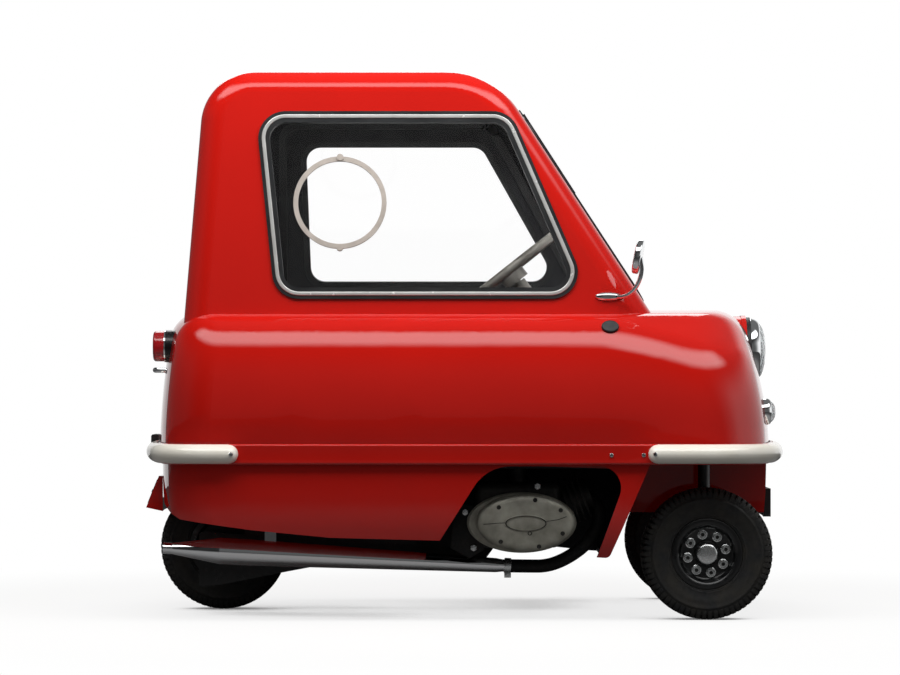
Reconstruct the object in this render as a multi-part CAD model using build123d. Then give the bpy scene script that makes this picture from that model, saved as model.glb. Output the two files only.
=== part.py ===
from build123d import *
import math
import os

# Three-wheeled microcar in millimetres.
# X points forward, Y to the car's left, Z up; the origin is on the ground under the middle of the car.

# Fits
SEAT_GAP = 0.2
RUN_GAP = 0.1
SWING_GAP = 0.3
DOOR_GAP = 8.0

# Moulded shell
SHELL_WALL = 10.0
LENGTH_REACH = 800.0
WIDTH_REACH = 600.0
DOOR_THICK = 18.0
END_BOW = 50.0
SIDE_BOW = 6.0
HULL_TOP = 650.0
HULL_CROWN_R = 6500.0
HULL_EDGE_R = 78.0
BELT_LOW = 325.0
BELT_HIGH = 368.0
BELT_PROUD = 8.0
BELT_EDGE_R = 5.0

# Plan sections of the hull: height, rear x, front x, half width, rear corner, front corner
HULL_LEVELS = [
    (325.0, -657.0, 657.0, 467.0, 100.0, 130.0),
    (368.0, -657.0, 657.0, 467.0, 100.0, 130.0),
    (500.0, -648.0, 638.0, 474.0, 100.0, 140.0),
    (660.0, -626.0, 586.0, 450.0, 100.0, 150.0),
]
# Plan sections of the lower tub, which tucks under towards the ground
TUB_LEVELS = [
    (325.0, -652.0, 652.0, 462.0, 95.0, 125.0),
    (240.0, -649.0, 649.0, 458.0, 95.0, 125.0),
    (180.0, -640.0, 640.0, 447.0, 95.0, 125.0),
    (120.0, -614.0, 614.0, 416.0, 90.0, 120.0),
]
TUB_TOP = BELT_LOW
# Side view of the tub's lower edge, x and z, from the tail to the leg behind the front wheel
TUB_EDGE = [
    (-690.0, 340.0), (-666.0, 300.0), (-638.0, 238.0), (-590.0, 211.0), (-443.0, 190.0),
    (-278.0, 174.0), (-52.0, 168.0), (262.0, 133.0), (298.0, 131.0), (381.0, 325.0), (387.4, 340.0),
]
LEG_TIP_R = 12.0

# Cabin
CABIN_BASE = 560.0
ROOF_Z = 1148.0
ROOF_REAR_R = 115.0
ROOF_FRONT_R = 180.0
CABIN_EDGE_R = 52.0
BACK_FOOT_X = -591.0
BACK_LEAN = 0.0764
SCREEN_FOOT_X = 440.0
SCREEN_LEAN = 0.647
CABIN_PROFILE = [
    (BACK_FOOT_X, CABIN_BASE),
    (BACK_FOOT_X + BACK_LEAN * (ROOF_Z - CABIN_BASE), ROOF_Z),
    (SCREEN_FOOT_X - SCREEN_LEAN * (ROOF_Z - CABIN_BASE), ROOF_Z),
    (SCREEN_FOOT_X, CABIN_BASE),
]
SIDE_DATUM_Z = 640.0
GLAZING_DATUM_Z = 645.0
SIDE_DATUM_Y = 405.0
TUMBLEHOME = 60.0 / 529.0

# Windows: x and z of the opening in the shell, before corner rounding
SIDE_WINDOW = [(-385.0, 678.0), (247.0, 678.0), (88.0, 1049.0), (-425.0, 1049.0)]
DOOR_WINDOW = [(-361.0, 710.0), (236.0, 710.0), (48.0, 1041.0), (-373.0, 1041.0)]
WINDOW_CORNER_R = 46.0
SCREEN_BOTTOM = (32.0, 334.0)
SCREEN_TOP = (476.0, 290.0)
REAR_WINDOW_BOTTOM = (142.0, 258.0)
REAR_WINDOW_TOP = (348.0, 240.0)
SEAL_LIP = 11.0
SEAL_CORE = 13.0
SEAL_PROUD = 4.5
SEAL_INNER = 3.0
GLASS_IN_GROOVE = 6.0
GLASS_OUTER = -2.0
GLASS_INNER = -6.0
BEAD_HALF = 4.0
BEAD_LOW = 2.5
BEAD_HIGH = 6.5
VENT_X = -260.0
VENT_Z = 868.0
VENT_R = 97.0
VENT_RING = 10.0
VENT_PIVOT_R = 7.0
VENT_DEEP = 7.0

# Door on the left side, hinged at its rear edge
DOOR_OUTLINE = [(-420.0, 385.0), (305.0, 385.0), (305.0, 640.0), (66.0, 1085.0), (-420.0, 1085.0)]
DOOR_CORNER_R = 45.0
HINGE_X = -424.0
HINGE_Y = 486.0
HINGE_Z = (450.0, 560.0)
HINGE_BARREL_R = 6.5
HINGE_PIN_R = 3.0
HINGE_LEN = 44.0
HINGE_LEAF = 3.0
HINGE_REACH = 34.0
HINGE_ROOT = 30.0

# Wheels
WHEEL_R = 137.5
TYRE_WIDTH = 76.0
RIM_R = 66.0
RIM_LIP_R = 73.0
RIM_HALF = 33.0
RIM_LIP = 4.0
BEAD_CLEAR = 1.0
BEAD_LEAN = 0.4
SHOULDER_DROP = 10.5
SHOULDER_IN = 3.0
TREAD_IN = 13.0
TREAD_CROWN = 0.8
HUB_R = 22.0
RIM_WALL = 5.0
DISC_FACE = 16.0
DISC_THICK = 6.0
HUB_FACE = 26.0
HUB_INNER = 30.0
AXLE_R = 9.0
HUB_CAP_R = 20.0
CAP_EDGE = 32.0
CAP_FACE = 42.0
SPROCKET_R = 52.0
SPROCKET_THICK = 5.0
FRONT_AXLE_X = 504.0
REAR_WHEEL_TAIL = -660.5
REAR_AXLE_X = REAR_WHEEL_TAIL + WHEEL_R
FRONT_WHEEL_Y = 345.0
KINGPIN_Y = 282.0
KINGPIN_R = 9.0
KINGPIN_NUT = 12.0
KINGPIN_NUT_R = 14.0
STRUT_R = 13.0
STAY_WIDTH = 28.0
STAY_Z = (232.0, 252.0)
STUB_REACH = 25.0
STUB_SHOULDER_R = 16.0
STEER_ARM_LENGTH = 84.0
STEER_ARM_WIDTH = 16.0
STEER_ARM_THICK = 10.0
SLEEVE_R = 17.0
SLEEVE_LOW = WHEEL_R - 39.5
SLEEVE_HIGH = WHEEL_R + 52.5

# Footwell between the front wheels, and the wheel house over the rear wheel
FOOTWELL_HALF = 215.0
FOOTWELL_LOW = 218.0
REAR_HOUSE_R = WHEEL_R + 27.5
REAR_HOUSE_HALF = 62.0

# Rear arm and its guard plate, x and z from the rear axle
ARM_OUTLINE = [(-22.0, -15.5), (23.0, -19.5), (223.0, 2.5), (223.0, 24.5), (23.0, 20.5), (-22.0, 14.5)]
ARM_OUTER_Y = 50.0
ARM_THICK = 8.0
ARM_CROSS = 30.0
ARM_CROSS_DEEP = 21.0
BRACKET_LONG = 20.0
BRACKET_TOP = 220.0
RAIL_X = (-470.0, -95.0)
RAIL_Y = 140.0
RAIL_WIDTH = 20.0
RAIL_LOW = 146.0
GUARD_Y = 96.0
GUARD_THICK = 5.0
GUARD_CORNER_R = 6.0
GUARD_SPACER_R = 14.0
GUARD_OUTLINE = [
    (-49.0, -85.5), (3.0, -79.5), (133.0, -53.5), (261.0, -29.5),
    (261.0, 0.5), (123.0, 20.5), (-37.0, 34.5), (-49.0, 30.5),
]

# Engine bay, open through the right side and underneath
BAY_REAR = -78.0
BAY_INNER_Y = -128.0
BAY_TOP = 315.0
BAY_OUTLINE = [(-95.0, 100.0), (261.0, 100.0), (340.0, 322.0), (45.0, 322.0)]
BAY_REAR_R = 90.0
BAY_FRONT_R = 45.0

# Bumpers
BUMPER_R = 20.2
BUMPER_Z = 347.0
BUMPER_FLAT = 0.2
BUMPER_END_STEP = 0.6
BUMPER_END_LAP = 2.0
FRONT_BUMPER_END = 396.0
REAR_BUMPER_END = -486.0

# Lamps
LAMP_ROOT = 30.0
LAMP_POCKET = 5.0
LAMP_LIP = 5.0
HEADLAMP_Z = 563.0
HEADLAMP_R = 71.0
HEADLAMP_BACK = 613.0
HEADLAMP_RIM = 30.0
HEADLAMP_LIP = 9.0
HEADLAMP_EDGE_R = 8.0
HEADLAMP_DOME = 14.0
NACELLE_FRONT = 612.8
NACELLE_WALL = 5.0
NACELLE_ROOT = 540.0
SIDE_LAMP_Y = 250.0
SIDE_LAMP_Z = 432.0
SIDE_LAMP_R = 28.5
SIDE_LAMP_PROUD = 14.0
SIDE_LAMP_DOME = 10.0
TAIL_LAMP_Y = 300.0
TAIL_LAMP_Z = 570.0
TAIL_LAMP_R = 34.0
TAIL_LAMP_BASE = 11.0
TAIL_LAMP_LENS = 26.0
TAIL_LAMP_STEP = 2.0
TAIL_LAMP_EDGE_R = 6.0

# Plates: the wedge that carries the rear one, its lamp, and the front board
PLINTH_HALF = 110.0
PLINTH_OUTLINE = [(-640.0, 292.0), (-658.0, 292.0), (-685.5, 224.0), (-640.0, 214.0)]
PLATE_LAMP_X = (-681.0, -664.0)
PLATE_LAMP_HALF = 34.0
PLATE_LAMP_SINK = 14.0
PLATE_LAMP_RISE = 13.0
PLATE_LAMP_EDGE_R = 5.0
FRONT_PLATE_HALF = 150.0
FRONT_PLATE_Z = (206.0, 266.0)
PLATE_THICK = 4.0
PLATE_PACKER = 14.0

# Handle on the tail, to pull the car round by hand
GRAB_Z = 520.0
GRAB_HALF = 60.0
GRAB_REACH = 26.0
GRAB_ROOT = 14.0
GRAB_BEND_R = 14.0
GRAB_R = 6.0

# Filler cap on the right shoulder
FILLER_X = 299.0
FILLER_ANGLE = 27.0
FILLER_LONG = 18.0
FILLER_SHORT = 14.0
FILLER_ROOT = 25.0
FILLER_PROUD = 8.0
FILLER_EDGE_R = 3.0

# Mirror: foot on the cabin side, bent arm, round head
MIRROR_FOOT_AT = (300.0, 30.0)
MIRROR_FOOT = (52.0, 16.0, 8.0)
MIRROR_ARM = [
    (318.0, -412.0, 672.0), (352.0, -440.0, 690.0), (364.0, -452.0, 725.0), (362.0, -456.0, 752.0),
]
MIRROR_ARM_R = 4.5
MIRROR_HEAD = (355.0, -456.0, 754.0)
MIRROR_FACING = (-0.97, 0.12, 0.2)
MIRROR_R = 36.0
MIRROR_BORDER = 4.0
MIRROR_DEPTH = 9.0
MIRROR_LIP = 5.0
MIRROR_FLOOR = 2.0
MIRROR_GLASS = 2.0

# Wiper, hung from the top of the screen
WIPER_Y = -60.0
WIPER_BOSS_V = 500.0
WIPER_BOSS_R = 13.0
WIPER_ARM_UP = 15.0
WIPER_ARM = 5.0
WIPER_ARM_LENGTH = 205.0
WIPER_WIDTH = 8.0
WIPER_BLADE = 250.0

# Engine: crankcase, finned barrel and the oval cover on the right
CASE_X = (20.0, 200.0)
CASE_Y = (-380.0, -230.0)
CASE_Z = (150.0, 285.0)
CASE_EDGE_R = 16.0
BARREL_FOOT = (190.0, -310.0, 235.0)
BARREL_HEAD = (262.0, -310.0, 262.0)
BARREL_R = 34.0
FIN_R = 50.0
FIN_COUNT = 5
FIN_START = 10.7
FIN_PITCH = 12.0
FIN_THICK = 4.0
MOUNT_Y = -300.0
MOUNT_R = 22.0
COVER_X = 126.0
COVER_Z = 203.0
COVER_LONG = 114.0
COVER_SHORT = 63.0
COVER_DEEP = 46.0
COVER_EDGE_R = 14.0
FLANGE_SHIFT = 8.0
FLANGE_LIP = 3.0
FLANGE_DEEP = 16.0
BADGE_LONG = 41.0
BADGE_SHORT = 14.5
BADGE_DEEP = 3.0

# Exhaust: tapered silencer along the right side and the pipe up to the barrel
SILENCER_FRONT = (105.0, -300.0, 108.0)
SILENCER_TAIL = (-634.0, -300.0, 146.0)
SILENCER_PROFILE = [(13.0, 0.0), (13.0, 26.0), (15.0, 40.0), (28.0, 560.0), (28.0, 620.0)]
TAIL_PIPE = 20.0
TAIL_R = 12.0
TAIL_BORE_R = 9.0
TAIL_BORE_DEEP = 60.0
HANGER_X = (-420.0, -396.0)
HANGER_Z = (150.0, 260.0)
HANGER_THICK = 12.0
PIPE_R = 12.5
PIPE_STRAIGHT = 40.0
PIPE_BENDS = [(255.0, 118.0), (276.0, 190.0), (258.0, 258.0)]
PIPE_BEND_R = 24.0

# Steering
WHEEL_HUB = (97.0, -60.0, 735.0)
COLUMN_DIR = (0.62, 0.0, -0.7846)
STEERING_R = 150.0
STEERING_GRIP_R = 10.0
SPOKE_COUNT = 3
SPOKE_WIDTH = 16.0
SPOKE_THICK = 6.0
BOSS_R = 28.0
BOSS_DEEP = 30.0
COLUMN_R = 16.0
SHAFT_R = 8.0
SHAFT_LENGTH = 70.0
COLUMN_DROP = 32.0
COLUMN_LENGTH = 618.0
DASH_X = (316.0, 420.0)
DASH_Z = (560.0, 572.0)

# Seat across the cabin on the tub's deck
SEAT_X = (-330.0, 30.0)
SEAT_HALF = 380.0
SEAT_BOARD = 14.0
SEAT_FLOOR = 190.0
CUSHION_HALF = 375.0
CUSHION_DEEP = 80.0
CUSHION_EDGE_R = 22.0
SEAT_BACK_AT = (-373.1, 0.0, 520.0)
SEAT_BACK_LEAN = 14.0
SEAT_BACK = (60.0, 750.0, 250.0)

# Door handle, x and z of its spindle
HANDLE_AT = (250.0, 590.0)
HANDLE_ROSE_R = 16.0
HANDLE_PROUD = 12.0
HANDLE_CLEAR = 8.0
HANDLE_LONG = 80.0


def level_outline(level, inset):
    z, rear, front, half, rear_r, front_r = level
    rear += inset
    front -= inset
    half -= inset
    middle = (rear + front) / 2
    rear_x = rear + END_BOW
    front_x = front - END_BOW
    side_y = half - SIDE_BOW
    with BuildSketch(Plane.XY.offset(z)) as sketch:
        with BuildLine():
            ThreePointArc((rear_x, -side_y), (middle, -half), (front_x, -side_y))
            ThreePointArc((front_x, -side_y), (front, 0), (front_x, side_y))
            ThreePointArc((front_x, side_y), (middle, half), (rear_x, side_y))
            ThreePointArc((rear_x, side_y), (rear, 0), (rear_x, -side_y))
        make_face()
        fillet(sketch.vertices().group_by(Axis.X)[-1], front_r - inset)
        fillet(sketch.vertices().group_by(Axis.X)[0], rear_r - inset)
    return sketch.sketch.face()


def side_y_at(level, inset, x):
    """Half width of a plan section on its bowed side, at a given x."""
    _, rear, front, half, _, _ = level
    half -= inset
    span = (front - rear) / 2 - inset - END_BOW
    radius = (span ** 2 + SIDE_BOW ** 2) / (2 * SIDE_BOW)
    middle = (rear + front) / 2
    return half - radius + math.sqrt(radius ** 2 - (x - middle) ** 2)


def end_x_at(level, inset, y, front=True):
    """X of a plan section's bowed front or rear, at a given y."""
    _, rear, nose, half, _, _ = level
    span = half - inset - SIDE_BOW
    radius = (span ** 2 + END_BOW ** 2) / (2 * END_BOW)
    drop = radius - math.sqrt(radius ** 2 - y ** 2)
    return nose - inset - drop if front else rear + inset + drop


def level_at(z):
    """Hull section interpolated at a height."""
    for low, high in zip(HULL_LEVELS, HULL_LEVELS[1:]):
        if low[0] <= z <= high[0]:
            t = (z - low[0]) / (high[0] - low[0])
            return tuple(a + (b - a) * t for a, b in zip(low, high))
    return HULL_LEVELS[-1]


def box_between(x0, x1, y0, y1, z0, z1):
    return Pos((x0 + x1) / 2, (y0 + y1) / 2, (z0 + z1) / 2) * Box(x1 - x0, y1 - y0, z1 - z0)


def rod(start, end, radius):
    line = Line(start, end)
    return extrude(Plane(line @ 0, z_dir=line % 0) * Circle(radius), line.length)


def panel(plane, points, corner, grow, low, high):
    with BuildSketch(plane.offset(low)) as sketch:
        with BuildLine():
            Polyline(*points, close=True)
        make_face()
        fillet(sketch.vertices(), corner)
        if grow:
            offset(amount=grow)
    return extrude(sketch.sketch, high - low)


def hull(inset):
    body = loft([level_outline(level, inset) for level in HULL_LEVELS])
    crown = Pos(0, 0, HULL_TOP - inset - HULL_CROWN_R) * Rot(0, 90, 0) * Cylinder(HULL_CROWN_R, 3000)
    body = body & crown
    top_edges = [edge for edge in body.edges() if edge.center().Z > 600]
    return fillet(top_edges, HULL_EDGE_R - inset)


def cabin(inset):
    with BuildSketch(Plane.XZ) as sketch:
        with BuildLine():
            Polyline(*CABIN_PROFILE, close=True)
        make_face()
        corners = sketch.vertices().group_by(Axis.Y)[-1].sort_by(Axis.X)
        fillet(corners[0], ROOF_REAR_R)
        fillet(sketch.vertices().group_by(Axis.Y)[-1].sort_by(Axis.X)[-1], ROOF_FRONT_R)
    profile = sketch.sketch
    if inset:
        profile = offset(profile, -inset, kind=Kind.INTERSECTION)
    body = extrude(profile, 600, both=True)
    shift = inset * math.sqrt(1 + TUMBLEHOME ** 2)
    low_y = SIDE_DATUM_Y - (CABIN_BASE - SIDE_DATUM_Z) * TUMBLEHOME - shift
    high_z = ROOF_Z + 130
    high_y = SIDE_DATUM_Y - (high_z - SIDE_DATUM_Z) * TUMBLEHOME - shift
    with BuildSketch(Plane.YZ) as wedge:
        with BuildLine():
            right = [(low_y, CABIN_BASE), (high_y, high_z)]
            Polyline((-low_y, CABIN_BASE), *right, (-high_y, high_z), close=True)
        make_face()
    body = body & extrude(wedge.sketch, 1500, both=True)
    sides = [face for face in body.faces() if abs(face.normal_at().Y) > 0.9]
    edges = [edge for face in sides for edge in face.edges() if edge.center().Z > 600]
    return fillet(edges, CABIN_EDGE_R - inset)


def tub_plan(inset):
    return loft([level_outline(level, inset) for level in TUB_LEVELS])


def tub(inset):
    body = tub_plan(inset)
    with BuildSketch(Plane.XZ) as sketch:
        with BuildLine():
            Polyline(*TUB_EDGE, close=True)
        make_face()
        tips = sketch.vertices().filter_by(lambda v: v.Y < 140)
        fillet(tips, LEG_TIP_R)
        if inset:
            offset(amount=-inset, kind=Kind.INTERSECTION)
    return body & extrude(sketch.sketch, 800, both=True)


def right_side_plane():
    normal = Vector(0, -1, TUMBLEHOME).normalized()
    return Plane(origin=(0, -SIDE_DATUM_Y, SIDE_DATUM_Z), x_dir=(1, 0, 0), z_dir=normal)


def on_side(points):
    slope = math.sqrt(1 + TUMBLEHOME ** 2)
    return [(x, (z - SIDE_DATUM_Z) * slope) for x, z in points]


def screen_plane():
    (x0, z0), (x1, z1) = CABIN_PROFILE[3], CABIN_PROFILE[2]
    x = x0 + (x1 - x0) * (GLAZING_DATUM_Z - z0) / (z1 - z0)
    out = Vector(z1 - z0, 0, x0 - x1).normalized()
    return Plane(origin=(x, 0, GLAZING_DATUM_Z), x_dir=(0, 1, 0), z_dir=out)


def rear_plane():
    (x0, z0), (x1, z1) = CABIN_PROFILE[0], CABIN_PROFILE[1]
    x = x0 + (x1 - x0) * (GLAZING_DATUM_Z - z0) / (z1 - z0)
    out = Vector(z0 - z1, 0, x1 - x0).normalized()
    return Plane(origin=(x, 0, GLAZING_DATUM_Z), x_dir=(0, -1, 0), z_dir=out)


def window_set(plane, points, bead=True):
    """Opening, glass, rubber seal and bright bead of one flat window."""
    corner = WINDOW_CORNER_R
    glass_grow = -(SEAL_CORE - GLASS_IN_GROOVE)
    opening = panel(plane, points, corner, 0, -70, 70)
    glass = panel(plane, points, corner, glass_grow, GLASS_INNER, GLASS_OUTER)
    inside = GLASS_INNER - SEAT_GAP
    groove = panel(plane, points, corner, glass_grow + SEAT_GAP, inside, GLASS_OUTER + SEAT_GAP)
    core = panel(plane, points, corner, -SEAT_GAP, -SHELL_WALL - SEAL_INNER, SEAL_PROUD)
    lip = panel(plane, points, corner, SEAL_LIP, SEAT_GAP, SEAL_PROUD)
    clear = panel(plane, points, corner, -SEAL_CORE, -70, 70)
    seal = core + lip - clear - groove
    if not bead:
        return opening, glass, seal, None
    ring = panel(plane, points, corner, BEAD_HALF, BEAD_LOW, BEAD_HIGH)
    ring = ring - panel(plane, points, corner, -BEAD_HALF, BEAD_LOW - 1, BEAD_HIGH + 1)
    slot = panel(plane, points, corner, BEAD_HALF + SEAT_GAP, BEAD_LOW - SEAT_GAP, BEAD_HIGH + 1)
    slot = slot - panel(plane, points, corner, -BEAD_HALF - SEAT_GAP, BEAD_LOW - 1, BEAD_HIGH + 2)
    return opening, glass, seal - slot, ring


def door_prism(grow):
    return panel(Plane.XZ, DOOR_OUTLINE, DOOR_CORNER_R, grow, -650, -250)


def make_shells():
    hull_outer = hull(0)
    hull_inner = hull(SHELL_WALL)
    cabin_outer = cabin(0)
    cabin_inner = cabin(SHELL_WALL)
    side = window_set(right_side_plane(), on_side(SIDE_WINDOW))
    right_hand = window_set(right_side_plane(), on_side(DOOR_WINDOW))
    door_side = [mirror(item, about=Plane.XZ) for item in right_hand]
    screen = window_set(screen_plane(), trapezoid(SCREEN_BOTTOM, SCREEN_TOP), bead=False)
    rear = window_set(rear_plane(), trapezoid(REAR_WINDOW_BOTTOM, REAR_WINDOW_TOP), bead=False)

    cabin_shell = cabin_outer - cabin_inner - hull_outer - side[0] - screen[0] - rear[0] - door_prism(0)
    hull_shell = hull_outer - hull_inner - cabin_inner + belt_band() + wing_floor()
    back = NACELLE_FRONT - SHELL_WALL
    pod = disc(back, NACELLE_FRONT, 0, HEADLAMP_Z, HEADLAMP_R + NACELLE_WALL)
    pod = pod + (disc(back, LENGTH_REACH, 0, HEADLAMP_Z, HEADLAMP_R + NACELLE_WALL) & hull_outer)
    core = disc(NACELLE_ROOT, NACELLE_FRONT, 0, HEADLAMP_Z, HEADLAMP_R + NACELLE_WALL - 2)
    pod = pod + (core - hull_inner)
    recess = disc(NACELLE_FRONT, LENGTH_REACH, 0, HEADLAMP_Z, HEADLAMP_R + SEAT_GAP)
    hull_shell = hull_shell + pod - recess - door_prism(0)

    door = (hull_outer + cabin_outer) & door_prism(-DOOR_GAP)
    door = door - (hull(DOOR_THICK) + cabin(DOOR_THICK)) - door_side[0]
    save("cabin_shell", cabin_shell)
    save("hull_shell", hull_shell)
    save("door_panel", door)
    save("fixed_glass", side[1] + screen[1] + rear[1])
    save("fixed_seals", side[2] + screen[2] + rear[2])
    save("side_window_bead", side[3])
    save("door_glass", door_side[1])
    save("door_seal", door_side[2])
    save("door_bead", door_side[3])
    save("dash_shelf", hull(SHELL_WALL + SEAT_GAP) & box_between(*DASH_X, -WIDTH_REACH, WIDTH_REACH, *DASH_Z))


def trapezoid(bottom, top):
    (v0, half0), (v1, half1) = bottom, top
    return [(-half0, v0), (half0, v0), (half1, v1), (-half1, v1)]


def belt_band():
    base = HULL_LEVELS[0]
    band = extrude(level_outline(base, -BELT_PROUD), BELT_HIGH - BELT_LOW)
    rims = [edge for edge in band.edges() if min(abs(edge.center().Z - z) for z in (BELT_LOW, BELT_HIGH)) < 1]
    band = fillet(rims, BELT_EDGE_R)
    return band - extrude(level_outline(base, SHELL_WALL / 2), BELT_HIGH - BELT_LOW)


def wing_floor():
    plate = extrude(level_outline(HULL_LEVELS[0], SHELL_WALL / 2), SHELL_WALL)
    plate = plate & box_between(372, 700, -600, 600, 300, 400)
    inner = FOOTWELL_HALF - SHELL_WALL
    return plate - box_between(300, 700, -inner, inner, 300, 400)


def make_tub():
    outer = tub(0)
    inner = tub(SHELL_WALL)
    plan_outer = tub_plan(0)
    plan_inner = tub_plan(SHELL_WALL)
    half = FOOTWELL_HALF
    foot_outer = plan_outer & box_between(290, 700, -half, half, FOOTWELL_LOW, TUB_TOP)
    half -= SHELL_WALL
    foot_inner = plan_inner & box_between(250, 700, -half, half, FOOTWELL_LOW + SHELL_WALL, TUB_TOP)
    hub = Pos(REAR_AXLE_X, 0, WHEEL_R) * Rot(90, 0, 0)
    house = hub * Cylinder(REAR_HOUSE_R + SHELL_WALL, 2 * (REAR_HOUSE_HALF + SHELL_WALL))
    house_void = hub * Cylinder(REAR_HOUSE_R, 2 * REAR_HOUSE_HALF)
    bay = box_between(BAY_REAR - SHELL_WALL, 420, -600, BAY_INNER_Y + SHELL_WALL, 0, TUB_TOP)
    bay_void = inner & box_between(BAY_REAR, 420, -600, BAY_INNER_Y, 0, BAY_TOP)
    bay_floor = plan_inner & box_between(BAY_REAR, 284, -600, BAY_INNER_Y, 60, 220)
    with BuildSketch(Plane.XZ.offset(380)) as sketch:
        with BuildLine():
            Polyline(*BAY_OUTLINE, close=True)
        make_face()
        top = sketch.vertices().group_by(Axis.Y)[-1].sort_by(Axis.X)
        fillet(top[0], BAY_REAR_R)
        fillet(sketch.vertices().sort_by(Axis.X)[-1], BAY_FRONT_R)
    side_opening = extrude(sketch.sketch, 200)
    shell = outer + foot_outer - (inner + foot_inner - bay - house)
    shell = shell - bay_void - bay_floor - side_opening - house_void
    save("tub_shell", shell)


def bumper_ring(grow):
    """Half-round bar all the way round the belt, enlarged by grow."""
    base = HULL_LEVELS[0]
    back = -(BELT_PROUD + SEAT_GAP - grow)
    reach = BUMPER_R + 2 * grow
    low = BUMPER_Z - BUMPER_R - grow
    height = 2 * (BUMPER_R + grow)
    ring = extrude(Pos(0, 0, low - base[0]) * level_outline(base, back - reach), height)
    edges = ring.edges().filter_by(lambda e: e.geom_type == GeomType.CIRCLE)
    ring = fillet(edges, BUMPER_R + grow - BUMPER_FLAT)
    return ring - extrude(Pos(0, 0, -100) * level_outline(base, back), 300)


def bumper(front):
    """One end of the ring, cut off on both sides and closed with round ends inside the bar's section."""
    end = FRONT_BUMPER_END if front else REAR_BUMPER_END
    outwards = 1 if front else -1
    far = outwards * LENGTH_REACH
    bar = bumper_ring(0) & box_between(min(end, far), max(end, far), -WIDTH_REACH, WIDTH_REACH, 300, 400)
    back = side_y_at(HULL_LEVELS[0], -(BELT_PROUD + SEAT_GAP), end)
    for side in (-1, 1):
        foot = (end, side * (back + BUMPER_END_STEP), BUMPER_Z)
        radius = BUMPER_R - BUMPER_END_STEP
        cap = turned(foot, (0, side, 0), radius, 0.01, radius - 0.05)
        keep = end + outwards * BUMPER_END_LAP
        near = end - outwards * 2 * BUMPER_R
        cap = cap & box_between(min(keep, near), max(keep, near), -WIDTH_REACH, WIDTH_REACH, 300, 400)
        bar = bar + cap
    return bar


def make_bumpers():
    save("front_bumper", bumper(True))
    save("rear_bumper", bumper(False))


def turned(origin, direction, radius, depth, rise):
    """Round cap standing on a plane: a short cylinder with a domed end."""
    ball = (radius ** 2 + rise ** 2) / (2 * rise)
    angle = math.asin(radius / ball) / 2
    crest = depth + rise
    middle = (ball * math.sin(angle), crest - ball + ball * math.cos(angle))
    with BuildSketch(Plane.XZ) as sketch:
        with BuildLine():
            Polyline((0, crest), (0, 0), (radius, 0), (radius, depth))
            ThreePointArc((radius, depth), middle, (0, crest))
        make_face()
    return Plane(origin, z_dir=direction) * revolve(sketch.sketch, Axis.Z)


def disc(x0, x1, y, z, radius):
    return Pos((x0 + x1) / 2, y, z) * Rot(0, 90, 0) * Cylinder(radius, x1 - x0)


def make_lamps():
    make_headlamp()
    outer = hull(-SEAT_GAP)
    face = end_x_at(level_at(SIDE_LAMP_Z), 0, SIDE_LAMP_Y)
    rim = face + SIDE_LAMP_PROUD
    pocket = rim - LAMP_POCKET
    opening = SIDE_LAMP_R - LAMP_LIP
    cups = []
    caps = []
    for y in (-SIDE_LAMP_Y, SIDE_LAMP_Y):
        cup = disc(face - LAMP_ROOT, rim, y, SIDE_LAMP_Z, SIDE_LAMP_R) - outer
        cups.append(cup - disc(pocket, rim + LAMP_POCKET, y, SIDE_LAMP_Z, opening))
        foot = (pocket + SEAT_GAP, y, SIDE_LAMP_Z)
        caps.append(turned(foot, (1, 0, 0), opening - SEAT_GAP, LAMP_POCKET, SIDE_LAMP_DOME))
    save("side_lamps", cups[0] + cups[1])
    save("side_lamp_lenses", caps[0] + caps[1])

    tail = end_x_at(level_at(TAIL_LAMP_Z), 0, TAIL_LAMP_Y, front=False)
    seat = tail - TAIL_LAMP_BASE
    end = seat - TAIL_LAMP_LENS
    bases = []
    reds = []
    for y in (-TAIL_LAMP_Y, TAIL_LAMP_Y):
        bases.append(disc(seat, tail + LAMP_ROOT, y, TAIL_LAMP_Z, TAIL_LAMP_R) - outer)
        red = disc(end, seat - SEAT_GAP, y, TAIL_LAMP_Z, TAIL_LAMP_R - TAIL_LAMP_STEP)
        reds.append(fillet(red.edges().group_by(Axis.X)[0], TAIL_LAMP_EDGE_R))
    save("tail_lamp_bases", bases[0] + bases[1])
    save("tail_lamp_lenses", reds[0] + reds[1])


def make_headlamp():
    rim_front = HEADLAMP_BACK + HEADLAMP_RIM
    pocket = rim_front - LAMP_POCKET - 1
    opening = HEADLAMP_R - HEADLAMP_LIP
    rim = disc(HEADLAMP_BACK, rim_front, 0, HEADLAMP_Z, HEADLAMP_R)
    rim = fillet(rim.edges().group_by(Axis.X)[-1], HEADLAMP_EDGE_R)
    save("headlamp_rim", rim - disc(pocket, rim_front + LAMP_POCKET, 0, HEADLAMP_Z, opening))
    foot = (pocket + SEAT_GAP, 0, HEADLAMP_Z)
    save("headlamp_lens", turned(foot, (1, 0, 0), opening - SEAT_GAP, rim_front - pocket, HEADLAMP_DOME))


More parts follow.
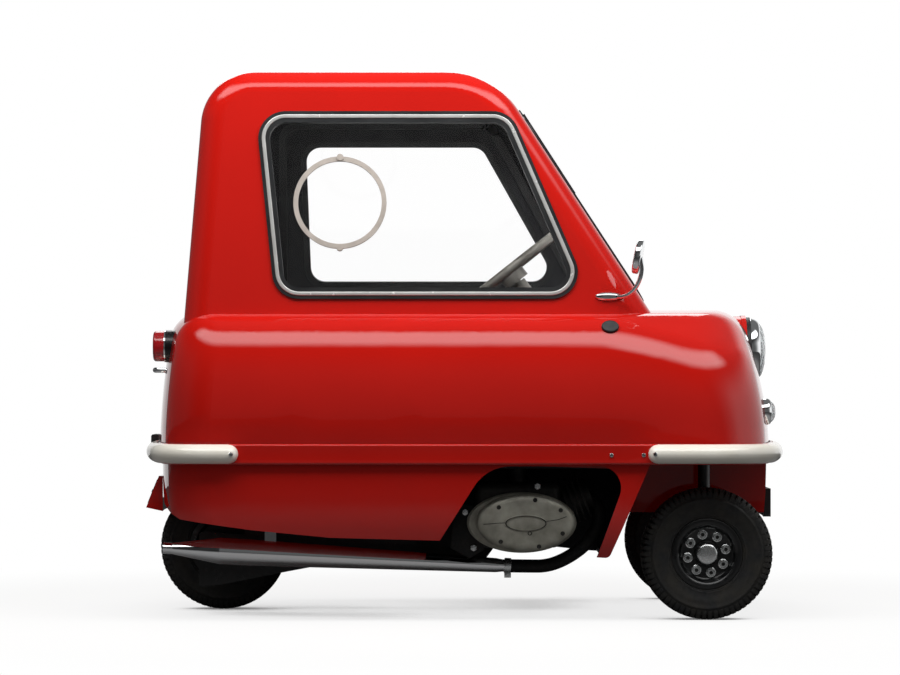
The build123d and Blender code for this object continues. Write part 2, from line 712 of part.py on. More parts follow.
def make_plates():
    with BuildSketch(Plane.XZ.offset(-PLINTH_HALF)) as sketch:
        with BuildLine():
            Polyline(*PLINTH_OUTLINE, close=True)
        make_face()
    plan = extrude(Pos(0, 0, -150) * level_outline(TUB_LEVELS[0], -SEAT_GAP), 300)
    save("plate_plinth", extrude(sketch.sketch, 2 * PLINTH_HALF) - plan)

    top = BUMPER_Z + BUMPER_R
    half = PLATE_LAMP_HALF
    lamp = box_between(*PLATE_LAMP_X, -half, half, top - PLATE_LAMP_SINK, top + PLATE_LAMP_RISE)
    lamp = fillet(lamp.edges().filter_by(Axis.Y), PLATE_LAMP_EDGE_R)
    belt = extrude(Pos(0, 0, -100) * level_outline(HULL_LEVELS[0], -(BELT_PROUD + SEAT_GAP)), 300)
    bar = bumper_ring(SEAT_GAP) & box_between(-LENGTH_REACH, 0, -2 * half, 2 * half, 300, 400)
    save("plate_lamp", lamp - belt - bar)

    back = TUB_LEVELS[0][2] + SEAT_GAP
    half = FRONT_PLATE_HALF
    board = box_between(back - PLATE_PACKER, back + PLATE_THICK, -half, half, *FRONT_PLATE_Z)
    save("front_plate", board - tub_plan(-SEAT_GAP))


def make_tail_handle():
    tail = end_x_at(level_at(GRAB_Z), 0, GRAB_HALF, front=False)
    inside = tail + GRAB_ROOT
    out = tail - GRAB_REACH
    corners = [(inside, -GRAB_HALF), (out, -GRAB_HALF), (out, GRAB_HALF), (inside, GRAB_HALF)]
    path = Polyline(*[(x, y, GRAB_Z) for x, y in corners])
    path = fillet(path.vertices()[1:3], GRAB_BEND_R)
    handle = sweep(Plane(path @ 0, z_dir=path % 0) * Circle(GRAB_R), path=path)
    save("grab_handle", handle - hull(-SEAT_GAP))


def make_filler_cap():
    """Oval cap on the rounded shoulder of the hull, square to the surface."""
    lean = math.radians(FILLER_ANGLE)
    half = side_y_at(level_at(HULL_TOP - HULL_EDGE_R), 0, FILLER_X)
    y = half - HULL_EDGE_R + HULL_EDGE_R * math.cos(lean)
    z = HULL_TOP - HULL_EDGE_R + HULL_EDGE_R * math.sin(lean)
    seat = Plane((FILLER_X, -y, z), x_dir=(1, 0, 0), z_dir=(0, -math.cos(lean), math.sin(lean)))
    oval = Ellipse(FILLER_LONG, FILLER_SHORT)
    cap = extrude(seat.offset(-FILLER_ROOT) * oval, FILLER_ROOT + FILLER_PROUD)
    cap = fillet(cap.edges().group_by(Axis.Y)[0], FILLER_EDGE_R)
    save("filler_cap", cap - hull(-SEAT_GAP))


def make_mirror():
    foot = right_side_plane() * Pos(*MIRROR_FOOT_AT, SEAT_GAP + MIRROR_FOOT[2] / 2) * Box(*MIRROR_FOOT)
    path = Spline(*MIRROR_ARM)
    arm = sweep(Plane(path @ 0, z_dir=path % 0) * Circle(MIRROR_ARM_R), path=path)
    head = Plane(MIRROR_HEAD, z_dir=MIRROR_FACING)
    shell = extrude(head.offset(-MIRROR_DEPTH) * Circle(MIRROR_R), MIRROR_DEPTH + MIRROR_LIP)
    shell = fillet(shell.edges(), MIRROR_BORDER)
    glass_r = MIRROR_R - MIRROR_BORDER
    pocket = extrude(head.offset(MIRROR_FLOOR) * Circle(glass_r), MIRROR_DEPTH)
    save("mirror_stay", foot + arm + (shell - pocket))
    floor = head.offset(MIRROR_FLOOR + SEAT_GAP)
    save("mirror_glass", extrude(floor * Circle(glass_r - SEAT_GAP), MIRROR_GLASS))


def make_wiper():
    screen = screen_plane()
    low = GLASS_OUTER + SEAT_GAP
    middle = WIPER_BOSS_V - WIPER_ARM_LENGTH / 2
    end = WIPER_BOSS_V - WIPER_ARM_LENGTH
    round_boss = Pos(WIPER_Y, WIPER_BOSS_V) * Circle(WIPER_BOSS_R)
    flat_arm = Pos(WIPER_Y, middle) * Rectangle(WIPER_WIDTH, WIPER_ARM_LENGTH)
    thin_blade = Pos(WIPER_Y, end) * Rectangle(WIPER_WIDTH - 1, WIPER_BLADE)
    boss = extrude(screen.offset(SEAT_GAP) * round_boss, WIPER_ARM_UP + 1)
    arm = extrude(screen.offset(WIPER_ARM_UP) * flat_arm, WIPER_ARM)
    blade = extrude(screen.offset(low) * thin_blade, WIPER_ARM_UP - low + 1)
    save("wiper", boss + arm + blade)


def make_vent():
    plane = right_side_plane()
    (x, v), = on_side([(VENT_X, VENT_Z)])
    low = GLASS_OUTER + SEAT_GAP
    ring = extrude(plane.offset(low) * Pos(x, v) * Circle(VENT_R), VENT_DEEP)
    ring = ring - extrude(plane.offset(low - 1) * Pos(x, v) * Circle(VENT_R - VENT_RING), VENT_DEEP + 2)
    for sign in (-1, 1):
        pivot_v = v + sign * (VENT_R - VENT_RING / 5)
        ring = ring + extrude(plane.offset(low) * Pos(x, pivot_v) * Circle(VENT_PIVOT_R), VENT_DEEP + 3)
    save("vent_ring", ring)


def tyre_profile():
    """Half section of a tyre: beads, bulging walls, rounded shoulders and a slightly crowned tread."""
    half = TYRE_WIDTH / 2
    bead = RIM_HALF - RIM_LIP - SEAT_GAP
    seat = RIM_R + SEAT_GAP
    bead_top = (RIM_LIP_R + BEAD_CLEAR, bead + BEAD_LEAN)
    wall = ((RIM_LIP_R + WHEEL_R) / 2, half)
    shoulder = (WHEEL_R - SHOULDER_DROP, half - SHOULDER_IN)
    corner = (WHEEL_R - SHOULDER_DROP / 3, half - TREAD_IN / 2)
    tread = (WHEEL_R - TREAD_CROWN, half - TREAD_IN)
    with BuildSketch(Plane.XY) as sketch:
        with BuildLine():
            Line((seat, -bead), (seat, bead))
            for side in (1, -1):
                points = [(x, side * y) for x, y in (bead_top, wall, shoulder, corner, tread)]
                Line((seat, side * bead), points[0])
                ThreePointArc(*points[0:3])
                ThreePointArc(*points[2:5])
            ThreePointArc(tread, (WHEEL_R, 0), (tread[0], -tread[1]))
        make_face()
    return sketch.sketch


def rim_profile(capped):
    """Half section of the pressed wheel; its outer face looks towards -Y."""
    bore = AXLE_R + RUN_GAP
    face = -DISC_FACE
    back = face + DISC_THICK
    well = RIM_R - RIM_WALL
    hub_out = -HUB_FACE
    dish = [
        (HUB_R, hub_out), (HUB_R, face), (well - 7, face), (well - 3, face - 4), (well - 3, -RIM_HALF + RIM_LIP),
        (well, -RIM_HALF), (RIM_LIP_R, -RIM_HALF), (RIM_LIP_R, -RIM_HALF + RIM_LIP - 0.5), (RIM_R, -RIM_HALF + RIM_LIP),
        (RIM_R, RIM_HALF - RIM_LIP), (RIM_LIP_R, RIM_HALF - RIM_LIP + 0.5), (RIM_LIP_R, RIM_HALF), (well, RIM_HALF),
        (well, back), (HUB_R, back), (HUB_R, HUB_INNER), (bore, HUB_INNER),
    ]
    with BuildSketch(Plane.XY) as sketch:
        with BuildLine():
            if capped:
                rise = CAP_FACE - CAP_EDGE
                ThreePointArc((0, -CAP_FACE), (HUB_CAP_R * 0.55, -CAP_FACE + rise * 0.26), (HUB_CAP_R, -CAP_EDGE))
                floor = hub_out + SEAT_GAP
                Polyline((HUB_CAP_R, -CAP_EDGE), (HUB_CAP_R, hub_out), *dish, (bore, floor), (0, floor), (0, -CAP_FACE))
            else:
                Polyline((bore, hub_out), *dish, close=True)
        make_face()
    return sketch.sketch


def make_wheels():
    tyre = revolve(tyre_profile(), Axis.Y)
    rim = revolve(rim_profile(True), Axis.Y)
    right = Pos(FRONT_AXLE_X, -FRONT_WHEEL_Y, WHEEL_R)
    save("tyre_front_right", right * tyre)
    save("rim_front_right", right * rim)
    save("tyre_front_left", mirror(right * tyre, about=Plane.XZ))
    save("rim_front_left", mirror(right * rim, about=Plane.XZ))
    rear = Pos(REAR_AXLE_X, 0, WHEEL_R)
    sprocket = Cylinder(SPROCKET_R, SPROCKET_THICK) - Cylinder(AXLE_R + RUN_GAP, 2 * SPROCKET_THICK)
    sprocket = Pos(0, HUB_INNER + SPROCKET_THICK / 2 - 1, 0) * Rot(90, 0, 0) * sprocket
    save("tyre_rear", rear * tyre)
    save("rim_rear", rear * (revolve(rim_profile(False), Axis.Y) + sprocket))


def make_front_axle():
    pins = None
    x = FRONT_AXLE_X
    top = BELT_LOW - SEAT_GAP
    foot = SLEEVE_LOW - KINGPIN_NUT
    for side in (-1, 1):
        y = side * KINGPIN_Y
        pin = rod((x, y, foot), (x, y, top), KINGPIN_R)
        strut = rod((x, y, SLEEVE_HIGH + SWING_GAP), (x, y, top), STRUT_R)
        nut = rod((x, y, foot), (x, y, SLEEVE_LOW - SWING_GAP), KINGPIN_NUT_R)
        ends = sorted((side * (FOOTWELL_HALF + SEAT_GAP), y))
        stay = box_between(x - STAY_WIDTH / 2, x + STAY_WIDTH / 2, *ends, *STAY_Z)
        group = pin + strut + nut + stay
        pins = group if pins is None else pins + group
    save("kingpins", pins)
    y = -KINGPIN_Y
    sleeve = rod((x, y, SLEEVE_LOW), (x, y, SLEEVE_HIGH), SLEEVE_R)
    stub = rod((x, y, WHEEL_R), (x, -FRONT_WHEEL_Y - STUB_REACH, WHEEL_R), AXLE_R)
    shoulder = rod((x, y, WHEEL_R), (x, -FRONT_WHEEL_Y + HUB_INNER + SWING_GAP, WHEEL_R), STUB_SHOULDER_R)
    arm_z = SLEEVE_LOW + 6
    half = STEER_ARM_WIDTH / 2
    arm = box_between(x - STEER_ARM_LENGTH, x, y - half, y + half, arm_z, arm_z + STEER_ARM_THICK)
    bore = rod((x, y, 0), (x, y, top), KINGPIN_R + RUN_GAP)
    knuckle = sleeve + stub + shoulder + arm - bore
    save("knuckle_right", knuckle)
    save("knuckle_left", mirror(knuckle, about=Plane.XZ))


def from_rear_axle(points):
    return [(REAR_AXLE_X + x, WHEEL_R + z) for x, z in points]


def make_rear_end():
    axle_half = ARM_OUTER_Y + 4
    arm = rod((REAR_AXLE_X, -axle_half, WHEEL_R), (REAR_AXLE_X, axle_half, WHEEL_R), AXLE_R)
    for start in (ARM_OUTER_Y, ARM_THICK - ARM_OUTER_Y):
        with BuildSketch(Plane.XZ.offset(-start)) as sketch:
            with BuildLine():
                Polyline(*from_rear_axle(ARM_OUTLINE), close=True)
            make_face()
        arm = arm + extrude(sketch.sketch, ARM_THICK)
    pivot_x, pivot_z = from_rear_axle(ARM_OUTLINE)[3]
    arm = arm + box_between(pivot_x - ARM_CROSS, pivot_x, -ARM_OUTER_Y, ARM_OUTER_Y, pivot_z - ARM_CROSS_DEEP, pivot_z)
    save("rear_arm", arm)

    rear = pivot_x - ARM_CROSS + 4
    bracket = box_between(rear, rear + BRACKET_LONG, -RAIL_Y, RAIL_Y, pivot_z + SEAT_GAP, BRACKET_TOP)
    for side in (-1, 1):
        middle = side * RAIL_Y
        rail = box_between(*RAIL_X, middle - RAIL_WIDTH / 2, middle + RAIL_WIDTH / 2, RAIL_LOW, BRACKET_TOP)
        bracket = bracket + rail
    save("rear_bracket", bracket - tub(-SEAT_GAP))

    with BuildSketch(Plane.XZ.offset(GUARD_Y)) as sketch:
        with BuildLine():
            Polyline(*from_rear_axle(GUARD_OUTLINE), close=True)
        make_face()
        fillet(sketch.vertices(), GUARD_CORNER_R)
    guard = extrude(sketch.sketch, GUARD_THICK)
    spacer = rod((REAR_AXLE_X, -ARM_OUTER_Y - SEAT_GAP, WHEEL_R), (REAR_AXLE_X, -GUARD_Y - 1, WHEEL_R), GUARD_SPACER_R)
    bore = rod((REAR_AXLE_X, -ARM_OUTER_Y - 20, WHEEL_R), (REAR_AXLE_X, 0, WHEEL_R), AXLE_R + SEAT_GAP)
    save("chain_guard", guard + spacer - bore)


def make_engine():
    case = fillet(box_between(*CASE_X, *CASE_Y, *CASE_Z).edges(), CASE_EDGE_R)
    base = Vector(*BARREL_FOOT)
    crown = Vector(*BARREL_HEAD)
    along = (crown - base).normalized()
    engine = case + rod(BARREL_FOOT, BARREL_HEAD, BARREL_R)
    for step in range(FIN_COUNT):
        start = base + along * (FIN_START + FIN_PITCH * step)
        engine = engine + rod(tuple(start), tuple(start + along * FIN_THICK), FIN_R)
    middle = (CASE_X[0] + CASE_X[1]) / 2
    engine = engine + rod((middle, MOUNT_Y, CASE_Z[1] - CASE_EDGE_R), (middle, MOUNT_Y, BAY_TOP - SEAT_GAP), MOUNT_R)
    save("engine_block", engine)

    face = -CASE_Y[0] + SEAT_GAP
    with BuildSketch(Plane.XZ.offset(face)) as flange:
        with Locations((COVER_X - FLANGE_SHIFT, COVER_Z)):
            Ellipse(COVER_LONG, COVER_SHORT)
    with BuildSketch(Plane.XZ.offset(face)) as sketch:
        with Locations((COVER_X, COVER_Z)):
            Ellipse(COVER_LONG - FLANGE_SHIFT - FLANGE_LIP, COVER_SHORT - FLANGE_LIP)
    cover = extrude(sketch.sketch, COVER_DEEP)
    cover = fillet(cover.edges().group_by(Axis.Y)[0], COVER_EDGE_R)
    cover = cover + extrude(flange.sketch, FLANGE_DEEP)
    with BuildSketch(Plane.XZ.offset(face + COVER_DEEP - BADGE_DEEP)) as badge:
        with Locations((COVER_X, COVER_Z)):
            Ellipse(BADGE_LONG, BADGE_SHORT)
    save("engine_cover", cover - extrude(badge.sketch, COVER_DEEP))


def make_exhaust():
    front = Vector(*SILENCER_FRONT)
    axis = Vector(*SILENCER_TAIL) - front
    length = axis.length
    axis = axis.normalized()
    hollow = length - TAIL_BORE_DEEP
    profile = [(0, 0)] + SILENCER_PROFILE + [
        (TAIL_R, length - TAIL_PIPE), (TAIL_R, length), (TAIL_BORE_R, length), (TAIL_BORE_R, hollow), (0, hollow),
    ]
    with BuildSketch(Plane.XZ) as sketch:
        with BuildLine():
            Polyline(*profile, close=True)
        make_face()
    body = Plane(front, x_dir=(0, 1, 0), z_dir=axis) * revolve(sketch.sketch, Axis.Z)
    y = SILENCER_FRONT[1]
    hanger = box_between(*HANGER_X, y - HANGER_THICK / 2, y + HANGER_THICK / 2, *HANGER_Z) - tub(-SEAT_GAP)
    save("silencer", body + hanger)
    start = front - axis * SEAT_GAP
    path = Polyline(tuple(start), tuple(start - axis * PIPE_STRAIGHT), *[(x, y, z) for x, z in PIPE_BENDS])
    path = fillet(path.vertices()[1:4], PIPE_BEND_R)
    pipe = sweep(Plane(path @ 0, z_dir=path % 0) * Circle(PIPE_R), path=path)
    along = (Vector(*BARREL_HEAD) - Vector(*BARREL_FOOT)).normalized()
    first = Vector(*BARREL_FOOT) + along * (FIN_START - 2)
    save("exhaust_pipe", pipe - rod(BARREL_FOOT, BARREL_HEAD, BARREL_R + SEAT_GAP)
         - rod(tuple(first), BARREL_HEAD, FIN_R + SEAT_GAP))


def make_steering():
    hub = Vector(*WHEEL_HUB)
    down = Vector(*COLUMN_DIR).normalized()
    plane = Plane(hub, x_dir=(0, 1, 0), z_dir=-down)
    wheel = plane * Torus(STEERING_R - STEERING_GRIP_R, STEERING_GRIP_R)
    wheel = wheel + extrude(plane.offset(-BOSS_DEEP) * Circle(BOSS_R), BOSS_DEEP + 4)
    reach = STEERING_R - STEERING_GRIP_R - 2
    for angle in range(0, 360, 360 // SPOKE_COUNT):
        spoke = Rot(0, 0, angle) * Pos(reach / 2, 0, -4) * Box(reach, SPOKE_WIDTH, SPOKE_THICK)
        wheel = wheel + plane * spoke
    wheel = wheel + extrude(plane.offset(-BOSS_DEEP - SHAFT_LENGTH) * Circle(SHAFT_R), SHAFT_LENGTH + 2)
    save("steering_wheel", wheel)

    start = hub + down * COLUMN_DROP
    end = start + down * COLUMN_LENGTH
    column = rod(tuple(start), tuple(end), COLUMN_R)
    column = column - rod(tuple(start - down * 5), tuple(start + down * (SHAFT_LENGTH + 20)), SHAFT_R + RUN_GAP)
    floor = FOOTWELL_LOW + SHELL_WALL + SEAT_GAP
    column = column & box_between(-LENGTH_REACH, LENGTH_REACH, -WIDTH_REACH, WIDTH_REACH, floor, ROOF_Z)
    top = DASH_Z[0] - SEAT_GAP
    at = hub + down * ((WHEEL_HUB[2] - top + COLUMN_R) / -down.Z)
    half = STAY_WIDTH / 2 - 2
    sides = (WHEEL_HUB[1] - half, WHEEL_HUB[1] + half)
    stay = box_between(at.X + COLUMN_R - 2, DASH_X[0] + 24, *sides, top - 20, top)
    save("steering_column", column + (stay - rod(tuple(start), tuple(end), COLUMN_R - 4)))


def make_seat():
    deck = TUB_TOP + SEAT_GAP
    board_top = deck + SEAT_BOARD
    board = box_between(*SEAT_X, -SEAT_HALF, SEAT_HALF, deck, board_top)
    inner = BAY_INNER_Y + SHELL_WALL + 8
    riser = box_between(SEAT_X[1] - SEAT_BOARD, SEAT_X[1], inner, SEAT_HALF, SEAT_FLOOR, board_top)
    save("seat_base", board + riser)
    low = board_top + SEAT_GAP
    cushion = box_between(SEAT_X[0] + 5, SEAT_X[1] + 4, -CUSHION_HALF, CUSHION_HALF, low, low + CUSHION_DEEP)
    save("seat_cushion", fillet(cushion.edges(), CUSHION_EDGE_R))
    back = Pos(*SEAT_BACK_AT) * Rot(0, -SEAT_BACK_LEAN, 0) * Box(*SEAT_BACK)
    save("seat_back", fillet(back.edges(), CUSHION_EDGE_R))


def hinge_leaf(direction, y, low, high):
    """Strap that wraps from the hinge pin back onto the shell; direction is -1 to the body, 1 to the door."""
    ends = sorted((HINGE_X, HINGE_X + direction * HINGE_REACH))
    strap = box_between(*ends, y - HINGE_ROOT, HINGE_Y + 1, low, high)
    ends = sorted((HINGE_X + direction * (HINGE_LEAF + 5), HINGE_X + direction * HINGE_REACH))
    return strap - box_between(*ends, y + HINGE_LEAF + 5, HINGE_Y + 20, low - 1, high + 1)


def make_hinges():
    fixed = None
    moving = None
    third = HINGE_LEN / 3
    for z in HINGE_Z:
        y = side_y_at(level_at(z), 0, HINGE_X)
        low = z - HINGE_LEN / 2
        high = low + HINGE_LEN
        group = rod((HINGE_X, HINGE_Y, low), (HINGE_X, HINGE_Y, high), HINGE_PIN_R)
        for start in (low, low + 2 * third):
            group = group + rod((HINGE_X, HINGE_Y, start), (HINGE_X, HINGE_Y, start + third), HINGE_BARREL_R)
            group = group + hinge_leaf(-1, y, start, start + third)
        fixed = group if fixed is None else fixed + group
        ends = (low + third + SWING_GAP, low + 2 * third - SWING_GAP)
        knuckle = rod((HINGE_X, HINGE_Y, ends[0]), (HINGE_X, HINGE_Y, ends[1]), HINGE_BARREL_R)
        knuckle = knuckle + hinge_leaf(1, y, *ends)
        knuckle = knuckle - rod((HINGE_X, HINGE_Y, low - 1), (HINGE_X, HINGE_Y, high + 1), HINGE_PIN_R + RUN_GAP)
        moving = knuckle if moving is None else moving + knuckle
    outer = hull(-SEAT_GAP)
    save("body_hinges", fixed - outer)
    save("door_hinges", moving - outer)


def make_door_handle():
    x, z = HANDLE_AT
    y = side_y_at(level_at(z), 0, x)
    rose = Pos(x, y, z) * Rot(90, 0, 0) * Cylinder(HANDLE_ROSE_R, 2 * HANDLE_PROUD)
    grip = box_between(x - HANDLE_LONG, x + HANDLE_ROSE_R - 4, y + HANDLE_CLEAR, y + 2 * HANDLE_CLEAR, z - 7, z + 7)
    save("door_handle", rose + fillet(grip.edges(), 3) - hull(-SEAT_GAP))


def save(name, shape):
    export_step(shape, f"parts/{name}.step")


def main():
    os.makedirs("parts", exist_ok=True)
    make_shells()
    make_tub()
    make_bumpers()
    make_lamps()
    make_plates()
    make_tail_handle()
    make_filler_cap()
    make_mirror()
    make_wiper()
    make_vent()
    make_wheels()
    make_front_axle()
    make_rear_end()
    make_engine()
    make_exhaust()
    make_steering()
    make_seat()
    make_hinges()
    make_door_handle()


main()
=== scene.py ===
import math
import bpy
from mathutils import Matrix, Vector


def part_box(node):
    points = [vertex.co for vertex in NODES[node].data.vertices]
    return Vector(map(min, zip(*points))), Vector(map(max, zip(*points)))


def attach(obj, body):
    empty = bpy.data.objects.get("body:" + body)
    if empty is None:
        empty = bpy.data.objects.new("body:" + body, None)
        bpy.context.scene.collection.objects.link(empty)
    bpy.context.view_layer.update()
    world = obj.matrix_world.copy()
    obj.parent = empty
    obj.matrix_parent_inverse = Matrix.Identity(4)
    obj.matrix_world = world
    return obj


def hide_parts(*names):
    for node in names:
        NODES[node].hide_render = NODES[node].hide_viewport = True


bl_info = {
    "name": "Three-wheeled microcar",
    "version": (1, 0, 0),
    "blender": (4, 5, 0),
    "location": "3D View > Sidebar > Microcar",
    "description": "Finishes the packed microcar with paint, glass, tyres and trim, and sets up its studio",
    "category": "Object",
}

import bpy
from mathutils import Matrix, Vector

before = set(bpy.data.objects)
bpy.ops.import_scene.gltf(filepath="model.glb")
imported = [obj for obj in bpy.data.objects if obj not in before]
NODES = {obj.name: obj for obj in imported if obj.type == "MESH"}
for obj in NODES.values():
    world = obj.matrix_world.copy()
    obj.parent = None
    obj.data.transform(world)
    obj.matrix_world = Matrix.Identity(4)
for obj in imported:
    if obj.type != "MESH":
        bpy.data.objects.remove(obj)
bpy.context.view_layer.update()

MM = 0.001


def linear(hex_colour):
    """An sRGB hex colour as linear red, green, blue and alpha."""
    channels = [int(hex_colour[i:i + 2], 16) / 255 for i in (1, 3, 5)]
    return [c / 12.92 if c <= 0.04045 else ((c + 0.055) / 1.055) ** 2.4 for c in channels] + [1.0]


def colour_property(label, note, hex_colour):
    return bpy.props.FloatVectorProperty(
        name=label, description=note, subtype="COLOR", size=4, min=0.0, max=1.0, default=linear(hex_colour)
    )


def length_property(label, note, metres):
    return bpy.props.FloatProperty(
        name=label, description=note, unit="LENGTH", subtype="DISTANCE", min=0.0, default=metres
    )


def deselect():
    """Back to object mode with nothing selected, so that the next operator acts on one piece alone."""
    if bpy.context.mode != "OBJECT":
        bpy.ops.object.mode_set(mode="OBJECT")
    bpy.ops.object.select_all(action="DESELECT")


def activate(piece):
    """Selects one piece alone and makes it the active one."""
    deselect()
    piece.select_set(True)
    bpy.context.view_layer.objects.active = piece


def edit(piece, kind, test):
    """Opens a piece in edit mode with the vertices, edges or faces selected whose middle passes the test."""
    activate(piece)
    mesh = piece.data
    bpy.ops.object.mode_set(mode="EDIT")
    bpy.ops.mesh.select_mode(type=kind)
    bpy.ops.mesh.select_all(action="DESELECT")
    bpy.ops.object.mode_set(mode="OBJECT")
    if kind == "VERT":
        for v in mesh.vertices:
            v.select = test(v.co)
    elif kind == "EDGE":
        for e in mesh.edges:
            a, b = (mesh.vertices[i].co for i in e.vertices)
            e.select = test((a + b) / 2)
    else:
        for p in mesh.polygons:
            p.select = test(p.center, p.normal)
    bpy.ops.object.mode_set(mode="EDIT")


def close_edit(piece, merge=0.0):
    """Leaves edit mode; merges doubles and turns all faces outwards where a merge distance is given."""
    if merge:
        bpy.ops.mesh.select_all(action="SELECT")
        bpy.ops.mesh.remove_doubles(threshold=merge)
        bpy.ops.mesh.normals_make_consistent(inside=False)
    bpy.ops.object.mode_set(mode="OBJECT")
    return piece


def turned(name, profile, segments=48, loop=False, capped=True):
    """A lathe piece about Z: a ring extruded and scaled along a profile of (radius, height) in metres."""
    deselect()
    radius, height = profile[0]
    fill = "NGON" if capped and not loop else "NOTHING"
    bpy.ops.mesh.primitive_circle_add(vertices=segments, radius=radius, location=(0, 0, height), fill_type=fill)
    piece = bpy.context.object
    piece.name = name
    bpy.ops.object.transform_apply(location=True)
    bpy.ops.object.mode_set(mode="EDIT")
    bpy.ops.mesh.select_all(action="SELECT")
    path = profile + profile[:1] if loop else profile
    for (r0, z0), (r1, z1) in zip(path, path[1:]):
        bpy.ops.mesh.extrude_region_move(TRANSFORM_OT_translate={"value": (0, 0, z1 - z0)})
        if r1 == 0:
            bpy.ops.mesh.merge(type="CENTER")
        elif r1 != r0:
            bpy.ops.transform.resize(value=(r1 / r0, r1 / r0, 1), center_override=(0, 0, z1))
    return close_edit(piece, merge=1e-6)


def box(name, low, high, bevel=0.0, segments=2):
    """A block between two corners with rounded edges."""
    deselect()
    low, high = Vector(low), Vector(high)
    bpy.ops.mesh.primitive_cube_add(size=1, location=(low + high) / 2, scale=high - low)
    piece = bpy.context.object
    piece.name = name
    bpy.ops.object.transform_apply(location=True, rotation=True, scale=True)
    if bevel:
        edit(piece, "EDGE", lambda middle: True)
        bpy.ops.mesh.bevel(offset=bevel, segments=segments, affect="EDGES")
        close_edit(piece)
    return piece


def lay(piece, point, axis):
    """Turns a piece made about Z onto an axis, moves it to a point and puts its place in its mesh."""
    piece.rotation_euler = Vector(axis).to_track_quat("Z", "Y").to_euler()
    piece.location = point
    activate(piece)
    bpy.ops.object.transform_apply(location=True, rotation=True, scale=True)
    return piece


def copy_of(piece, name, matrix):
    """A copy with its own mesh, moved by a matrix and still facing outwards."""
    twin = piece.copy()
    twin.data = piece.data.copy()
    twin.name = name
    bpy.context.scene.collection.objects.link(twin)
    twin.data.transform(matrix)
    if matrix.is_negative:
        twin.data.flip_normals()
    return twin


def join(name, pieces):
    """Makes one piece of several, which takes the name."""
    deselect()
    for piece in pieces:
        piece.select_set(True)
    bpy.context.view_layer.objects.active = pieces[0]
    bpy.ops.object.join()
    pieces[0].name = name
    return pieces[0]


def repeat(name, piece, matrices):
    """One piece made of a copy of a small shape at each matrix; the pattern itself is removed."""
    copies = [copy_of(piece, name, matrix) for matrix in matrices]
    bpy.data.objects.remove(piece)
    return join(name, copies)


def around(point, axis, count, start=0.0):
    """Matrices that turn a shape about an axis through a point, in equal steps."""
    there, back = Matrix.Translation(point), Matrix.Translation(-Vector(point))
    steps = (start + 2 * math.pi * i / count for i in range(count))
    return [there @ Matrix.Rotation(angle, 4, Vector(axis)) @ back for angle in steps]


def tube(name, points, radius):
    """A round bar along a smooth curve through its control points."""
    deselect()
    curve = bpy.data.curves.new(name, "CURVE")
    curve.dimensions = "3D"
    curve.bevel_depth = radius
    curve.bevel_resolution = 4
    curve.use_fill_caps = True
    spline = curve.splines.new("NURBS")
    spline.points.add(len(points) - 1)
    for knot, point in zip(spline.points, points):
        knot.co = (*point, 1)
    spline.use_endpoint_u = True
    spline.order_u = 3
    spline.resolution_u = 12
    piece = bpy.data.objects.new(name, curve)
    bpy.context.scene.collection.objects.link(piece)
    activate(piece)
    bpy.ops.object.convert(target="MESH")
    piece = bpy.context.object
    piece.name = name
    edit(piece, "VERT", lambda place: True)
    return close_edit(piece, merge=1e-6)


def apply_modifier(piece, kind, **settings):
    """Adds a modifier with its settings and applies it."""
    activate(piece)
    modifier = piece.modifiers.new(kind.title(), kind)
    for key, value in settings.items():
        setattr(modifier, key, value)
    bpy.ops.object.modifier_apply(modifier=modifier.name)
    return piece


def node_copy(node, name):
    """A copy of a CAD node without the node's own marks, for a piece that keeps the node's form."""
    piece = copy_of(NODES[node], name, Matrix.Identity(4))
    for key in list(piece.keys()):
        del piece[key]
    piece.parent = None
    piece.hide_viewport = piece.hide_render = False
    piece.hide_set(False)
    return piece


def skin_of(node, name):
    """A copy of a CAD node with its loose triangles merged, so that it can be edited."""
    piece = node_copy(node, name)
    edit(piece, "VERT", lambda place: True)
    return close_edit(piece, merge=1e-6)


def paint(piece, *finishes):
    """Gives a piece its finishes in the order of its material indices."""
    piece.data.materials.clear()
    for name in finishes:
        piece.data.materials.append(finish(name))


def fit(piece, body, slot, coat, *nodes, angle=35):
    """Hands a finished piece to its body with its finish, and hides the CAD nodes that it stands for. The slot
    is not used.
    """
    activate(piece)
    bpy.ops.object.transform_apply(location=True, rotation=True, scale=True)
    bpy.ops.object.shade_smooth_by_angle(angle=math.radians(angle))
    paint(piece, coat)
    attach(piece, body)
    if nodes:
        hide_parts(*nodes)
    return piece


def dress(node, name):
    """Gives a CAD node whose shape is right its finish."""
    piece = NODES[node]
    if not piece.material_slots:
        piece.data.materials.append(None)
    for place in piece.material_slots:
        place.material = finish(name)


def add_node(tree, kind, inputs=None, **settings):
    """Adds a node with its settings; each input is a constant or the output socket that feeds it."""
    node = tree.nodes.new(kind)
    for key, value in settings.items():
        setattr(node, key, value)
    for key, value in (inputs or {}).items():
        if isinstance(value, bpy.types.NodeSocket):
            tree.links.new(value, node.inputs[key])
        else:
            node.inputs[key].default_value = value
    return node


def mottle(tree, place, size_mm, low, high, detail=4.0):
    """A noise of that feature size as a value between low and high."""
    inputs = {"Vector": place, "Scale": 1 / (size_mm * MM), "Detail": detail}
    noise = add_node(tree, "ShaderNodeTexNoise", inputs)
    return add_node(
        tree, "ShaderNodeMapRange",
        {"Value": noise.outputs["Fac"], "From Min": 0.3, "From Max": 0.7, "To Min": low, "To Max": high},
    ).outputs["Result"]


def two_tone(tree, place, size_mm, first, second, detail=4.0, most=1.0):
    """A colour that drifts from the first towards the second in patches of that size."""
    share = mottle(tree, place, size_mm, 0.0, most, detail)
    first, second = (linear(tone) if isinstance(tone, str) else tone for tone in (first, second))
    return add_node(tree, "ShaderNodeMix", {0: share, 6: first, 7: second}, data_type="RGBA").outputs[2]


